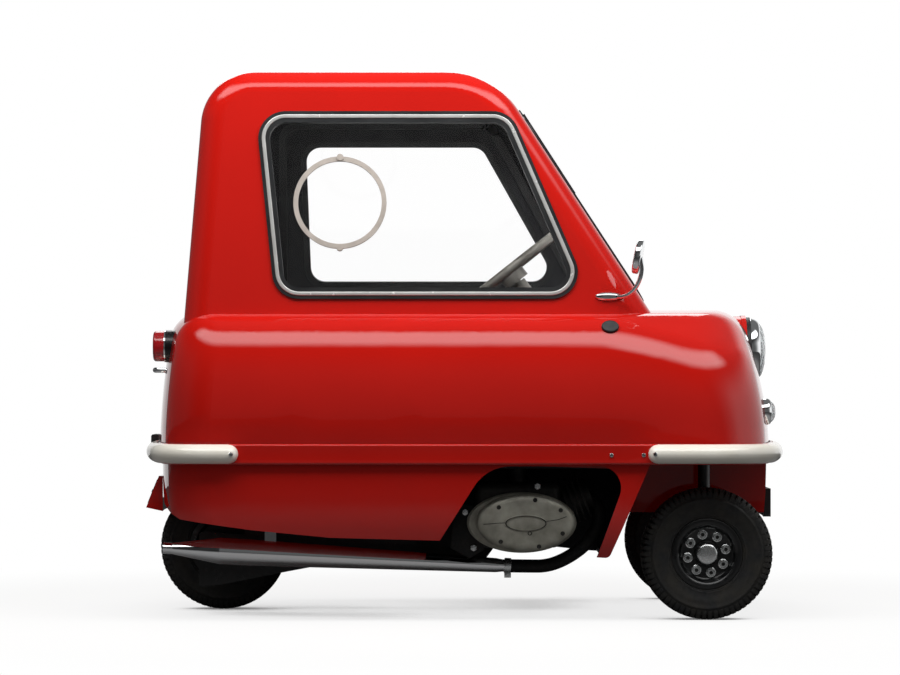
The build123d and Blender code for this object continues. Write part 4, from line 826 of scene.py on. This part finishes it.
class MICROCAR_OT_engine(bpy.types.Operator):
    """Makes the cast engine cover with its seams and bolts, the cradle, the exhaust's downpipe and its clamp"""
    bl_idname = "microcar.engine"
    bl_label = "Engine"

    def execute(self, context):
        low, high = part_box("engine_cover")
        middle = Vector(((low.x + high.x) / 2, high.y, (low.z + high.z) / 2))
        steps = [[value * MM for value in step] for step in COVER_STEPS]
        cover = oval_stack("engine_cover_cast", steps)
        seams = [tube("seam", [(x * MM, z * MM, COVER_FACE) for x, z in path], 0.8 * MM) for path in SEAMS]
        rim = turned("rim", scaled(BADGE_RIM), segments=64, loop=True)
        rim.data.transform(Matrix.Translation((BADGE_SHIFT, 0, 0)) @ Matrix.Diagonal((1, BADGE_FLATNESS, 1, 1)))
        facing = Matrix(((1, 0, 0, middle.x), (0, 0, -1, middle.y), (0, 1, 0, middle.z), (0, 0, 0, 1)))
        seams = join("engine_cover_seams", [rim, *seams])
        for piece in (cover, seams):
            piece.data.transform(facing)
        fit(cover, "car", "cast_alloy", "sand_cast_alloy", "engine_cover", angle=32)
        # The seams and the badge's rim are raised lines in near-black: painted shade along them
        fit(seams, "car", "black_paint", "oily_iron_and_shade")
        # Each cover screw is a near-black cap: painted shade standing for the screw's recess
        recess = turned("engine_bolts", scaled(BOLT_RECESS), segments=24)
        frames = [facing @ Matrix.Translation((x * MM, z * MM, COVER_FACE)) for x, z in COVER_SCREWS]
        fit(repeat("engine_bolts", recess, frames), "car", "black_paint", "oily_iron_and_shade")

        gussets = []
        for name, outline, y, depth in GUSSETS:
            gusset = plate(name, scaled(outline), depth * MM)
            gusset.data.transform(Matrix(((1, 0, 0, 0), (0, 0, -1, y * MM), (0, 1, 0, 0), (0, 0, 0, 1))))
            gussets.append(apply_modifier(gusset, "BEVEL", width=1.2 * MM, segments=2))
        fit(join("engine_cradle", gussets), "car", "black_paint", "heat_black")
        nut = turned("engine_nuts", scaled(CASE_NUT), segments=6)
        origin = Vector((middle.x, middle.z, 0))
        frames = [facing @ Matrix.Translation(Vector(place) * MM - origin) for place in CASE_NUTS]
        fit(repeat("engine_nuts", nut, frames), "car", "bright_steel", "zinc_steel")

        pipe = tube("exhaust_downpipe", [Vector(point) * MM for point in DOWNPIPE], DOWNPIPE_RADIUS)
        fit(pipe, "car", "black_paint", "heat_black", "exhaust_pipe", angle=60)

        band = turned("exhaust_clamp", scaled(CLAMP_SECTION), segments=48, loop=True)
        lay(band, SILENCER_FRONT, SILENCER_AXIS)
        at = SILENCER_FRONT + SILENCER_AXIS * 15 * MM
        ears = []
        for y in (-3.0, 3.0):
            low, high = Vector((-7, y - 1.2, -25)) * MM, Vector((7, y + 1.2, -14.5)) * MM
            ears.append(box("ear", at + low, at + high, bevel=0.8 * MM))
        fit(join("exhaust_clamp", [band, *ears]), "car", "bright_steel", "zinc_steel")
        bolt = turned("clamp_bolt", scaled(CLAMP_BOLT), segments=6)
        lay(bolt, at + Vector((0, 0, -20.5)) * MM, (0, 1, 0))
        fit(bolt, "car", "bright_steel", "zinc_steel")
        return {"FINISHED"}


class MicrocarSeat(bpy.types.PropertyGroup):
    inset: length_property("Inset", "How much smaller the pads start, before they swell", 0.012)
    swell: length_property("Swell", "The most that a point of a pad may move as it fills", 0.012)
    channel_pitch: length_property("Channel pitch", "Distance between the sewn channels", 0.094)
    channel_depth: length_property("Channel depth", "How far a sewn channel pulls in", 0.005)


SEAT_LEAN = 14.0
SEAT_BACK_HEIGHT, SEAT_BACK_DEEP = 0.250, 0.060
PAD_VOXEL, PAD_PRESSURE, PAD_MOMENTS = 0.006, 4.0, 20
CHANNEL_WIDTH = 0.007


def make_pad(node, frame_matrix, size, settings):
    """One padded piece: a rounded block, remeshed, blown up as cloth, capped, then sewn into channels."""
    half = Vector(size) / 2 - Vector((1, 1, 1)) * settings.inset
    pad = box(f"{node}_pad", -half, half, bevel=min(half) * 0.55, segments=4)
    apply_modifier(pad, "REMESH", mode="VOXEL", voxel_size=PAD_VOXEL)
    before = [v.co.copy() for v in pad.data.vertices]
    cloth = pad.modifiers.new("Filling", "CLOTH")
    cloth.settings.use_pressure = True
    cloth.settings.uniform_pressure_force = PAD_PRESSURE
    cloth.settings.effector_weights.gravity = 0.0
    scene = bpy.context.scene
    for moment in range(1, PAD_MOMENTS + 1):
        scene.frame_set(moment)
    activate(pad)
    bpy.ops.object.modifier_apply(modifier=cloth.name)
    scene.frame_set(1)
    for vertex, start in zip(pad.data.vertices, before):
        step = vertex.co - start
        if step.length > settings.swell:
            vertex.co = start + step.normalized() * settings.swell
    inner = min(half) * 0.4
    for vertex in pad.data.vertices:
        if vertex.co.z > inner:
            phase = (vertex.co.y / settings.channel_pitch) % 1.0
            away = min(phase, 1.0 - phase) * settings.channel_pitch
            edge = max(0.0, 1.0 - (abs(vertex.co.x) / half.x) ** 6)
            vertex.co.z -= settings.channel_depth * edge * math.exp(-((away / CHANNEL_WIDTH) ** 2))
        vertex.co.z = max(vertex.co.z, -size[2] / 2 + 0.0005)
    apply_modifier(pad, "SUBSURF", levels=1, render_levels=1)
    pad.data.transform(frame_matrix)
    fit(pad, "car", "black_vinyl", "grained_vinyl", node, angle=60)
    return pad


class MICROCAR_OT_seat(bpy.types.Operator):
    """Makes the padded seat cushion and back with their sewn channels"""
    bl_idname = "microcar.seat"
    bl_label = "Seat"

    def execute(self, context):
        settings = context.scene.microcar_seat
        low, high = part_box("seat_cushion")
        size = high - low
        make_pad("seat_cushion", Matrix.Translation((low + high) / 2), size, settings)
        low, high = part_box("seat_back")
        lean = Matrix.Rotation(math.radians(-SEAT_LEAN), 4, "Y") @ Matrix.Rotation(math.radians(90), 4, "Y")
        size = (SEAT_BACK_HEIGHT, high.y - low.y, SEAT_BACK_DEEP)
        make_pad("seat_back", Matrix.Translation((low + high) / 2) @ lean, size, settings)
        return {"FINISHED"}


def on_surface(piece, start, way):
    """The point and the outward direction where a line first meets a piece."""
    found, place, normal, _ = piece.ray_cast(Vector(start), Vector(way))
    if not found:
        raise RuntimeError(f"nothing to fix to on {piece.name}")
    return place, normal


# Where the screws of the belt stand, mm forward and up, on both sides
BELT_SCREWS = [(301.0, 345.0), (367.0, 345.0)]
BELT_SCREW, BUMPER_SCREW, PLATE_SCREW = 4.2 * MM, 4.6 * MM, 4.0 * MM    # radius of their heads
BUMPER_SCREW_INSET = 14 * MM
# The door's middle and ends, and how far its gasket stands behind it and how wide it is
DOOR_MIDDLE = Vector((-0.06, 0.0, 0.74))
DOOR_TOP, DOOR_BOTTOM = 1.062, 0.405
GASKET_BEHIND, GASKET_WIDTH = 6.5 * MM, 18 * MM


def door_edge(centre, normal):
    """True for the narrow faces round the outside of the door."""
    away = (centre.x - DOOR_MIDDLE.x) * normal.x + (centre.z - DOOR_MIDDLE.z) * normal.z > 0
    end = abs(normal.x) > 0.4 or centre.z > DOOR_TOP or centre.z < DOOR_BOTTOM
    return away and end and abs(normal.y) < 0.3


def make_door_gasket():
    """The rubber strip on the body behind the door's edge, which closes the gap round the door."""
    gasket = skin_of("door_panel", "door_gasket")
    edit(gasket, "FACE", door_edge)
    bpy.ops.mesh.select_all(action="INVERT")
    bpy.ops.mesh.delete(type="FACE")
    close_edit(gasket)
    gasket.data.transform(Matrix.Translation((0, -GASKET_BEHIND, 0)))
    apply_modifier(gasket, "SOLIDIFY", thickness=GASKET_WIDTH, offset=0.0)
    fit(gasket, "car", "black_rubber", "weatherstrip_rubber", angle=50)


# The foot of the mirror: its middle and half sizes, and how much it narrows towards the arm
FOOT_MIDDLE, FOOT_HALF = Vector((0.300, 0.0, 0.6725)), Vector((0.030, 0.009, 0.0108))
FOOT_TAPER = 0.3
BLOCK_LONG, BLOCK_HIGH, BLOCK_DEEP = 0.0285, 0.0125, 0.0125    # half sizes of the plain block, and its depth


def make_mirror_stay():
    """The bent arm and the head from the CAD form, on a drop-shaped foot instead of the plain block."""
    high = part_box("mirror_stay")[1]
    stay = skin_of("mirror_stay", "mirror_stay_cast")

    def in_block(place):
        apart = place - FOOT_MIDDLE
        return abs(apart.x) < BLOCK_LONG and abs(apart.z) < BLOCK_HIGH and place.y > high.y - BLOCK_DEEP

    edit(stay, "VERT", in_block)
    bpy.ops.mesh.delete(type="VERT")
    close_edit(stay)
    deselect()
    bpy.ops.mesh.primitive_uv_sphere_add(segments=40, ring_count=20, radius=1.0)
    foot = bpy.context.object
    for vertex in foot.data.vertices:
        x, y, z = vertex.co
        slim = 1 - FOOT_TAPER * (x + 1) / 2
        depth = (y if y < 0 else y * 0.1) * FOOT_HALF.y
        vertex.co = (x * FOOT_HALF.x, depth * slim, z * FOOT_HALF.z * slim)
    foot.location = (FOOT_MIDDLE.x, high.y - 0.001, FOOT_MIDDLE.z)
    activate(foot)
    bpy.ops.object.transform_apply(location=True)
    fit(join("mirror_stay_cast", [stay, foot]), "car", "chrome", "chrome_plate", "mirror_stay", angle=50)


# The blank plate on the plinth at the rear: the sloping face in mm, and the plate's half sizes and thickness
PLINTH_TOP, PLINTH_FOOT = Vector((-658.0, 0.0, 292.0)) * MM, Vector((-685.5, 0.0, 224.0)) * MM
PLATE_HALF, PLATE_THICK = (96.0 * MM, 27.0 * MM), 1.6 * MM


def make_rear_plate():
    """The blank plate on the sloping face of the plinth, with its two screws."""
    up = (PLINTH_TOP - PLINTH_FOOT).normalized()
    across = Vector((0, -1, 0))
    out = across.cross(up)
    middle = (PLINTH_TOP + PLINTH_FOOT) / 2
    half_long, half_high = PLATE_HALF
    low, high = (-half_long, -half_high, 0.0), (half_long, half_high, PLATE_THICK)
    slab = box("rear_plate_blank", low, high, bevel=0.5 * MM)
    turn = Matrix((across, up, out)).transposed().to_4x4()
    slab.data.transform(Matrix.Translation(middle + out * 0.2 * MM) @ turn)
    fit(slab, "car", "black_paint", "plate_blank")
    places = [(middle + across * x * half_long + out * PLATE_THICK, out) for x in (-0.82, 0.82)]
    screws("rear_plate_screws", "car", places, PLATE_SCREW)


class MICROCAR_OT_trim(bpy.types.Operator):
    """Adds the screws, the window beads, the mirror's stay, the blank rear plate and the door's gasket"""
    bl_idname = "microcar.trim"
    bl_label = "Trim"

    def execute(self, context):
        hull = bpy.data.objects["hull_shell_skin"]
        places = [
            on_surface(hull, (x * MM, side, z * MM), (0, -side, 0))
            for x, z in BELT_SCREWS for side in (-1.0, 1.0)
        ]
        places = [(place, normal) for place, normal in places if abs(place.y) > 0.40]
        screws("belt_screws", "car", places, BELT_SCREW)

        places = []
        for node, inwards in (("front_bumper", 1), ("rear_bumper", -1)):
            low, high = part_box(node)
            x = (low.x if inwards > 0 else high.x) + inwards * BUMPER_SCREW_INSET
            for side in (-1.0, 1.0):
                places.append(on_surface(NODES[node], (x, side, (low.z + high.z) / 2), (0, -side, 0)))
        screws("bumper_screws", "car", places, BUMPER_SCREW)

        for node, name, body in (
            ("side_window_bead", "window_bead_right", "car"), ("door_bead", "window_bead_left", "door"),
        ):
            bead = skin_of(node, name)
            apply_modifier(bead, "BEVEL", width=1.7 * MM, segments=4, limit_method="ANGLE", angle_limit=0.7)
            fit(bead, body, "chrome", "silver_trim", node, angle=50)
        make_mirror_stay()
        make_rear_plate()
        make_door_gasket()
        return {"FINISHED"}


class MicrocarPaint(bpy.types.PropertyGroup):
    body_red: colour_property("Body red", "Polished gelcoat of the shells", "#C61A12")
    bumper_white: colour_property("Bumper white", "Enamel of the two bumpers", "#FBF7EC")


class MicrocarStudio(bpy.types.PropertyGroup):
    camera_place: bpy.props.FloatVectorProperty(
        name="Camera place", description="Where the camera stands", subtype="TRANSLATION", unit="LENGTH",
        default=(-0.031, -8.0, 0.52),
    )
    camera_aim: bpy.props.FloatVectorProperty(
        name="Camera aim", description="The point in the middle of the picture", subtype="TRANSLATION",
        unit="LENGTH", default=(-0.031, 0.0, 0.591),
    )
    lens: bpy.props.FloatProperty(
        name="Lens", description="Focal length on a 36 mm sensor", unit="CAMERA", default=146.5, min=20.0
    )
    softbox_power: bpy.props.FloatProperty(
        name="Softbox power", description="Output of the overhead softbox", unit="POWER", default=36.0, min=0.0
    )
    band_level: bpy.props.FloatProperty(
        name="Band level", description="Brightness of the long light that glossy skins mirror",
        default=4.6, min=0.0,
    )
    fill_level: bpy.props.FloatProperty(
        name="Fill level", description="Brightness of the white studio around the car", default=0.3, min=0.0
    )


NODE_FINISHES = {
    "weatherstrip_rubber": ("fixed_seals", "door_seal", "filler_cap", "plate_lamp", "wiper"),
    "clear_acrylic": ("fixed_glass", "door_glass"),
    "chrome_plate": ("grab_handle", "door_handle", "silencer", "body_hinges", "door_hinges"),
    "cream_enamel": ("front_bumper", "rear_bumper"),
    "red_acrylic": ("tail_lamp_lenses",),
    "black_enamel": (
        "rim_rear", "knuckle_right", "knuckle_left", "kingpins", "rear_arm",
        "rear_bracket", "tail_lamp_bases", "chain_guard",
    ),
    "oily_iron_and_shade": ("engine_block",),
    "hammered_grey": ("steering_wheel", "steering_column"),
    "vent_plastic": ("vent_ring",),
    "painted_laminate": ("seat_base", "dash_shelf"),
    "silvered_glass": ("mirror_glass",),
    "plate_blank": ("front_plate",),
}


class MICROCAR_OT_fittings(bpy.types.Operator):
    """Gives the fittings that keep their CAD form their finishes"""
    bl_idname = "microcar.fittings"
    bl_label = "Fittings"

    def execute(self, context):
        for name, nodes in NODE_FINISHES.items():
            for node in nodes:
                dress(node, name)
        return {"FINISHED"}


SENSOR_WIDTH = 36.0
# Softboxes: name, place, aim, size, share of the power, and whether glossy skins mirror it
SOFTBOXES = [
    ("softbox_over", (0.0, -1.05, 1.9), (0.0, -0.45, 0.6), (2.6, 0.9), 1.0, False),
    ("softbox_behind", (-0.2, 2.4, 2.6), (0.0, 0.0, 0.6), (2.6, 1.2), 0.9, True),
]
FLOOR_RADIUS, FLOOR_FADE = 7.0, 1.9
# The reach of the painted contact shadow that ambient occlusion draws on the floor round the tyres
CONTACT_REACH = 0.22    # how near a tyre must be to darken the floor, m
# The floor near the car, as glossy skins mirror it, far from the car, and as the eye sees it
FLOOR_NEAR, FLOOR_MIRRORED, FLOOR_FAR, FLOOR_SEEN = "#949494", "#F4F4F4", "#585858", "#FAF9F7"
# What glossy skins mirror, by direction: axis, the two limits on it, and the level at each limit
MIRRORED_WALLS = [("Y", -0.85, -0.25, 0.1, 1.0), ("Z", 0.3, 0.6, 1.0, 0.15), ("X", -0.45, -0.02, 0.12, 1.0)]
MIRRORED_BAND = [("Z", 0.6, 0.7, 0.0, 1.0), ("Z", 0.8, 0.92, 1.0, 0.0), ("Y", -0.3, 0.1, 1.0, 0.0)]
# The walls for lighting rays: height of the direction, and share of the fill level there
WALL_FOOT, WALL_TOP = (-0.1, 0.15), (0.9, 1.6)


class MICROCAR_OT_studio(bpy.types.Operator):
    """Sets the white floor, the softboxes, the surrounding studio and the camera"""
    bl_idname = "microcar.studio"
    bl_label = "Studio"

    def execute(self, context):
        studio = context.scene.microcar_studio
        make_floor()
        make_surroundings(studio.fill_level, studio.band_level)
        for name, place, aim, size, share, mirrored in SOFTBOXES:
            softbox = make_softbox(name, place, aim, size, studio.softbox_power * share)
            softbox.visible_glossy = mirrored
        camera = bpy.data.objects.new("camera", bpy.data.cameras.new("camera"))
        camera.data.lens = studio.lens
        camera.data.sensor_width = SENSOR_WIDTH
        camera.location = studio.camera_place
        aim = Vector(studio.camera_aim) - Vector(studio.camera_place)
        camera.rotation_euler = aim.to_track_quat("-Z", "Y").to_euler()
        context.scene.collection.objects.link(camera)
        context.scene.camera = camera
        context.scene.view_settings.view_transform = "Standard"
        return {"FINISHED"}


def make_softbox(name, place, aim, size, power):
    """A rectangular area light that looks from its place at its aim."""
    lamp = bpy.data.lights.new(name, "AREA")
    lamp.shape = "RECTANGLE"
    lamp.size, lamp.size_y = size
    lamp.energy = power
    softbox = bpy.data.objects.new(name, lamp)
    softbox.location = place
    softbox.rotation_euler = (Vector(aim) - Vector(place)).to_track_quat("-Z", "Y").to_euler()
    bpy.context.scene.collection.objects.link(softbox)
    return softbox


def make_floor():
    """A round white floor that keeps the shadow near the car, darkens it round the tyres with a painted contact
    shadow from ambient occlusion, and fades into the white studio.
    """
    deselect()
    bpy.ops.mesh.primitive_circle_add(vertices=96, radius=FLOOR_RADIUS, fill_type="NGON")
    floor = bpy.context.object
    floor.name = "studio_floor"
    material = bpy.data.materials.new("white_paper")
    material.use_nodes = True
    tree = material.node_tree
    tree.nodes.clear()
    place = add_node(tree, "ShaderNodeTexCoord").outputs["Object"]
    near = add_node(tree, "ShaderNodeMapping", {"Vector": place, "Scale": (1 / FLOOR_FADE,) * 3})
    inputs = {"Vector": near.outputs["Vector"]}
    ball = add_node(tree, "ShaderNodeTexGradient", inputs, gradient_type="SPHERICAL")
    # Painted contact shadow: ambient occlusion within CONTACT_REACH takes the floor's glow away near the tyres
    open_sky = add_node(tree, "ShaderNodeAmbientOcclusion", {"Distance": CONTACT_REACH}, samples=8)
    glow_share_with_painted_contact_shadow = add_node(
        tree, "ShaderNodeMapRange",
        {"Value": open_sky.outputs["AO"], "From Min": 0.2, "From Max": 0.6, "To Min": 0.15, "To Max": 0.82},
        interpolation_type="SMOOTHSTEP",
    ).outputs["Result"]
    white = add_node(
        tree, "ShaderNodeMapRange",
        {"Value": ball.outputs["Fac"], "From Min": 0.0, "From Max": 0.45, "To Min": 1.0, "To Max": glow_share_with_painted_contact_shadow},
        interpolation_type="SMOOTHSTEP",
    ).outputs["Result"]
    rays = add_node(tree, "ShaderNodeLightPath").outputs
    tone = linear(FLOOR_NEAR)
    for share, other in (
        (rays["Is Glossy Ray"], FLOOR_MIRRORED), (white, FLOOR_FAR), (rays["Is Camera Ray"], FLOOR_SEEN),
    ):
        inputs = {0: share, 6: tone, 7: linear(other)}
        tone = add_node(tree, "ShaderNodeMix", inputs, data_type="RGBA").outputs[2]
    paper = add_node(tree, "ShaderNodeBsdfDiffuse", {"Color": tone})
    glow = add_node(tree, "ShaderNodeEmission", {"Color": linear("#FFFFFF"), "Strength": 1.0})
    fade = add_node(tree, "ShaderNodeMath", {0: white, 1: seen_rays(tree)}, operation="MULTIPLY")
    mix = add_node(
        tree, "ShaderNodeMixShader",
        {0: fade.outputs["Value"], 1: paper.outputs["BSDF"], 2: glow.outputs["Emission"]},
    )
    add_node(tree, "ShaderNodeOutputMaterial", {"Surface": mix.outputs["Shader"]})
    floor.data.materials.append(material)


def seen_rays(tree):
    """1 for rays that the camera sees directly or through glass, and 0 for lighting rays and reflections."""
    light = add_node(tree, "ShaderNodeLightPath")
    both = add_node(
        tree, "ShaderNodeMath",
        {0: light.outputs["Is Camera Ray"], 1: light.outputs["Is Transmission Ray"]}, operation="MAXIMUM",
    )
    return both.outputs["Value"]


def eased_level(tree, axes, level, steps):
    """A level that each step eases from one share to another between two limits on an axis."""
    for axis, start, end, low, high in steps:
        share = add_node(
            tree, "ShaderNodeMapRange",
            {"Value": axes[axis], "From Min": start, "From Max": end, "To Min": low, "To Max": high},
            interpolation_type="SMOOTHSTEP",
        ).outputs["Result"]
        level = add_node(tree, "ShaderNodeMath", {0: level, 1: share}, operation="MULTIPLY").outputs["Value"]
    return level


def make_surroundings(level, band_level):
    """White for the eye and through glass; for reflections, walls and a long soft band; dim for lighting."""
    world = bpy.data.worlds.new("studio")
    bpy.context.scene.world = world
    world.use_nodes = True
    tree = world.node_tree
    tree.nodes.clear()
    light = add_node(tree, "ShaderNodeLightPath")
    direction = add_node(tree, "ShaderNodeTexCoord").outputs["Generated"]
    axes = add_node(tree, "ShaderNodeSeparateXYZ", {"Vector": direction}).outputs
    walls = eased_level(tree, axes, 1.0, MIRRORED_WALLS)
    band = eased_level(tree, axes, band_level, MIRRORED_BAND)
    mirrored = add_node(tree, "ShaderNodeMath", {0: walls, 1: band}, operation="MAXIMUM").outputs["Value"]
    dim = add_node(tree, "ShaderNodeMapRange", {
        "Value": axes["Z"], "From Min": WALL_FOOT[0], "From Max": WALL_TOP[0],
        "To Min": level * WALL_FOOT[1], "To Max": level * WALL_TOP[1],
    }).outputs["Result"]
    white = linear("#FFFFFF")
    dim, mirrored, seen = (
        add_node(tree, "ShaderNodeBackground", {"Color": white, "Strength": strength}).outputs["Background"]
        for strength in (dim, mirrored, 1.0)
    )
    lit = add_node(tree, "ShaderNodeMixShader", {0: light.outputs["Is Glossy Ray"], 1: dim, 2: mirrored})
    mix = add_node(tree, "ShaderNodeMixShader", {0: seen_rays(tree), 1: lit.outputs["Shader"], 2: seen})
    add_node(tree, "ShaderNodeOutputWorld", {"Surface": mix.outputs["Shader"]})


class MICROCAR_PT_panel(bpy.types.Panel):
    """The finishing steps in order"""
    bl_idname = "MICROCAR_PT_panel"
    bl_label = "Microcar"
    bl_space_type = "VIEW_3D"
    bl_region_type = "UI"
    bl_category = "Microcar"

    def draw(self, context):
        for name in SETTINGS:
            settings = getattr(context.scene, name)
            column = self.layout.column()
            for key in settings.__annotations__:
                column.prop(settings, key)
        for step in STEPS:
            self.layout.operator(step.bl_idname)


STEPS = (
    MICROCAR_OT_shells, MICROCAR_OT_fittings, MICROCAR_OT_wheels, MICROCAR_OT_lamps, MICROCAR_OT_engine,
    MICROCAR_OT_seat, MICROCAR_OT_trim, MICROCAR_OT_studio,
)
SETTINGS = {
    "microcar_paint": MicrocarPaint,
    "microcar_wheels": MicrocarWheels,
    "microcar_seat": MicrocarSeat,
    "microcar_studio": MicrocarStudio,
}


def register():
    for cls in (*SETTINGS.values(), *STEPS, MICROCAR_PT_panel):
        bpy.utils.register_class(cls)
    for name, cls in SETTINGS.items():
        setattr(bpy.types.Scene, name, bpy.props.PointerProperty(type=cls))


def unregister():
    for name in SETTINGS:
        delattr(bpy.types.Scene, name)
    for cls in (MICROCAR_PT_panel, *reversed(STEPS), *reversed(SETTINGS.values())):
        bpy.utils.unregister_class(cls)


def main():
    register()
    for step in STEPS:
        group, name = step.bl_idname.split(".")
        getattr(getattr(bpy.ops, group), name)()


if __name__ == "__main__":
    main()
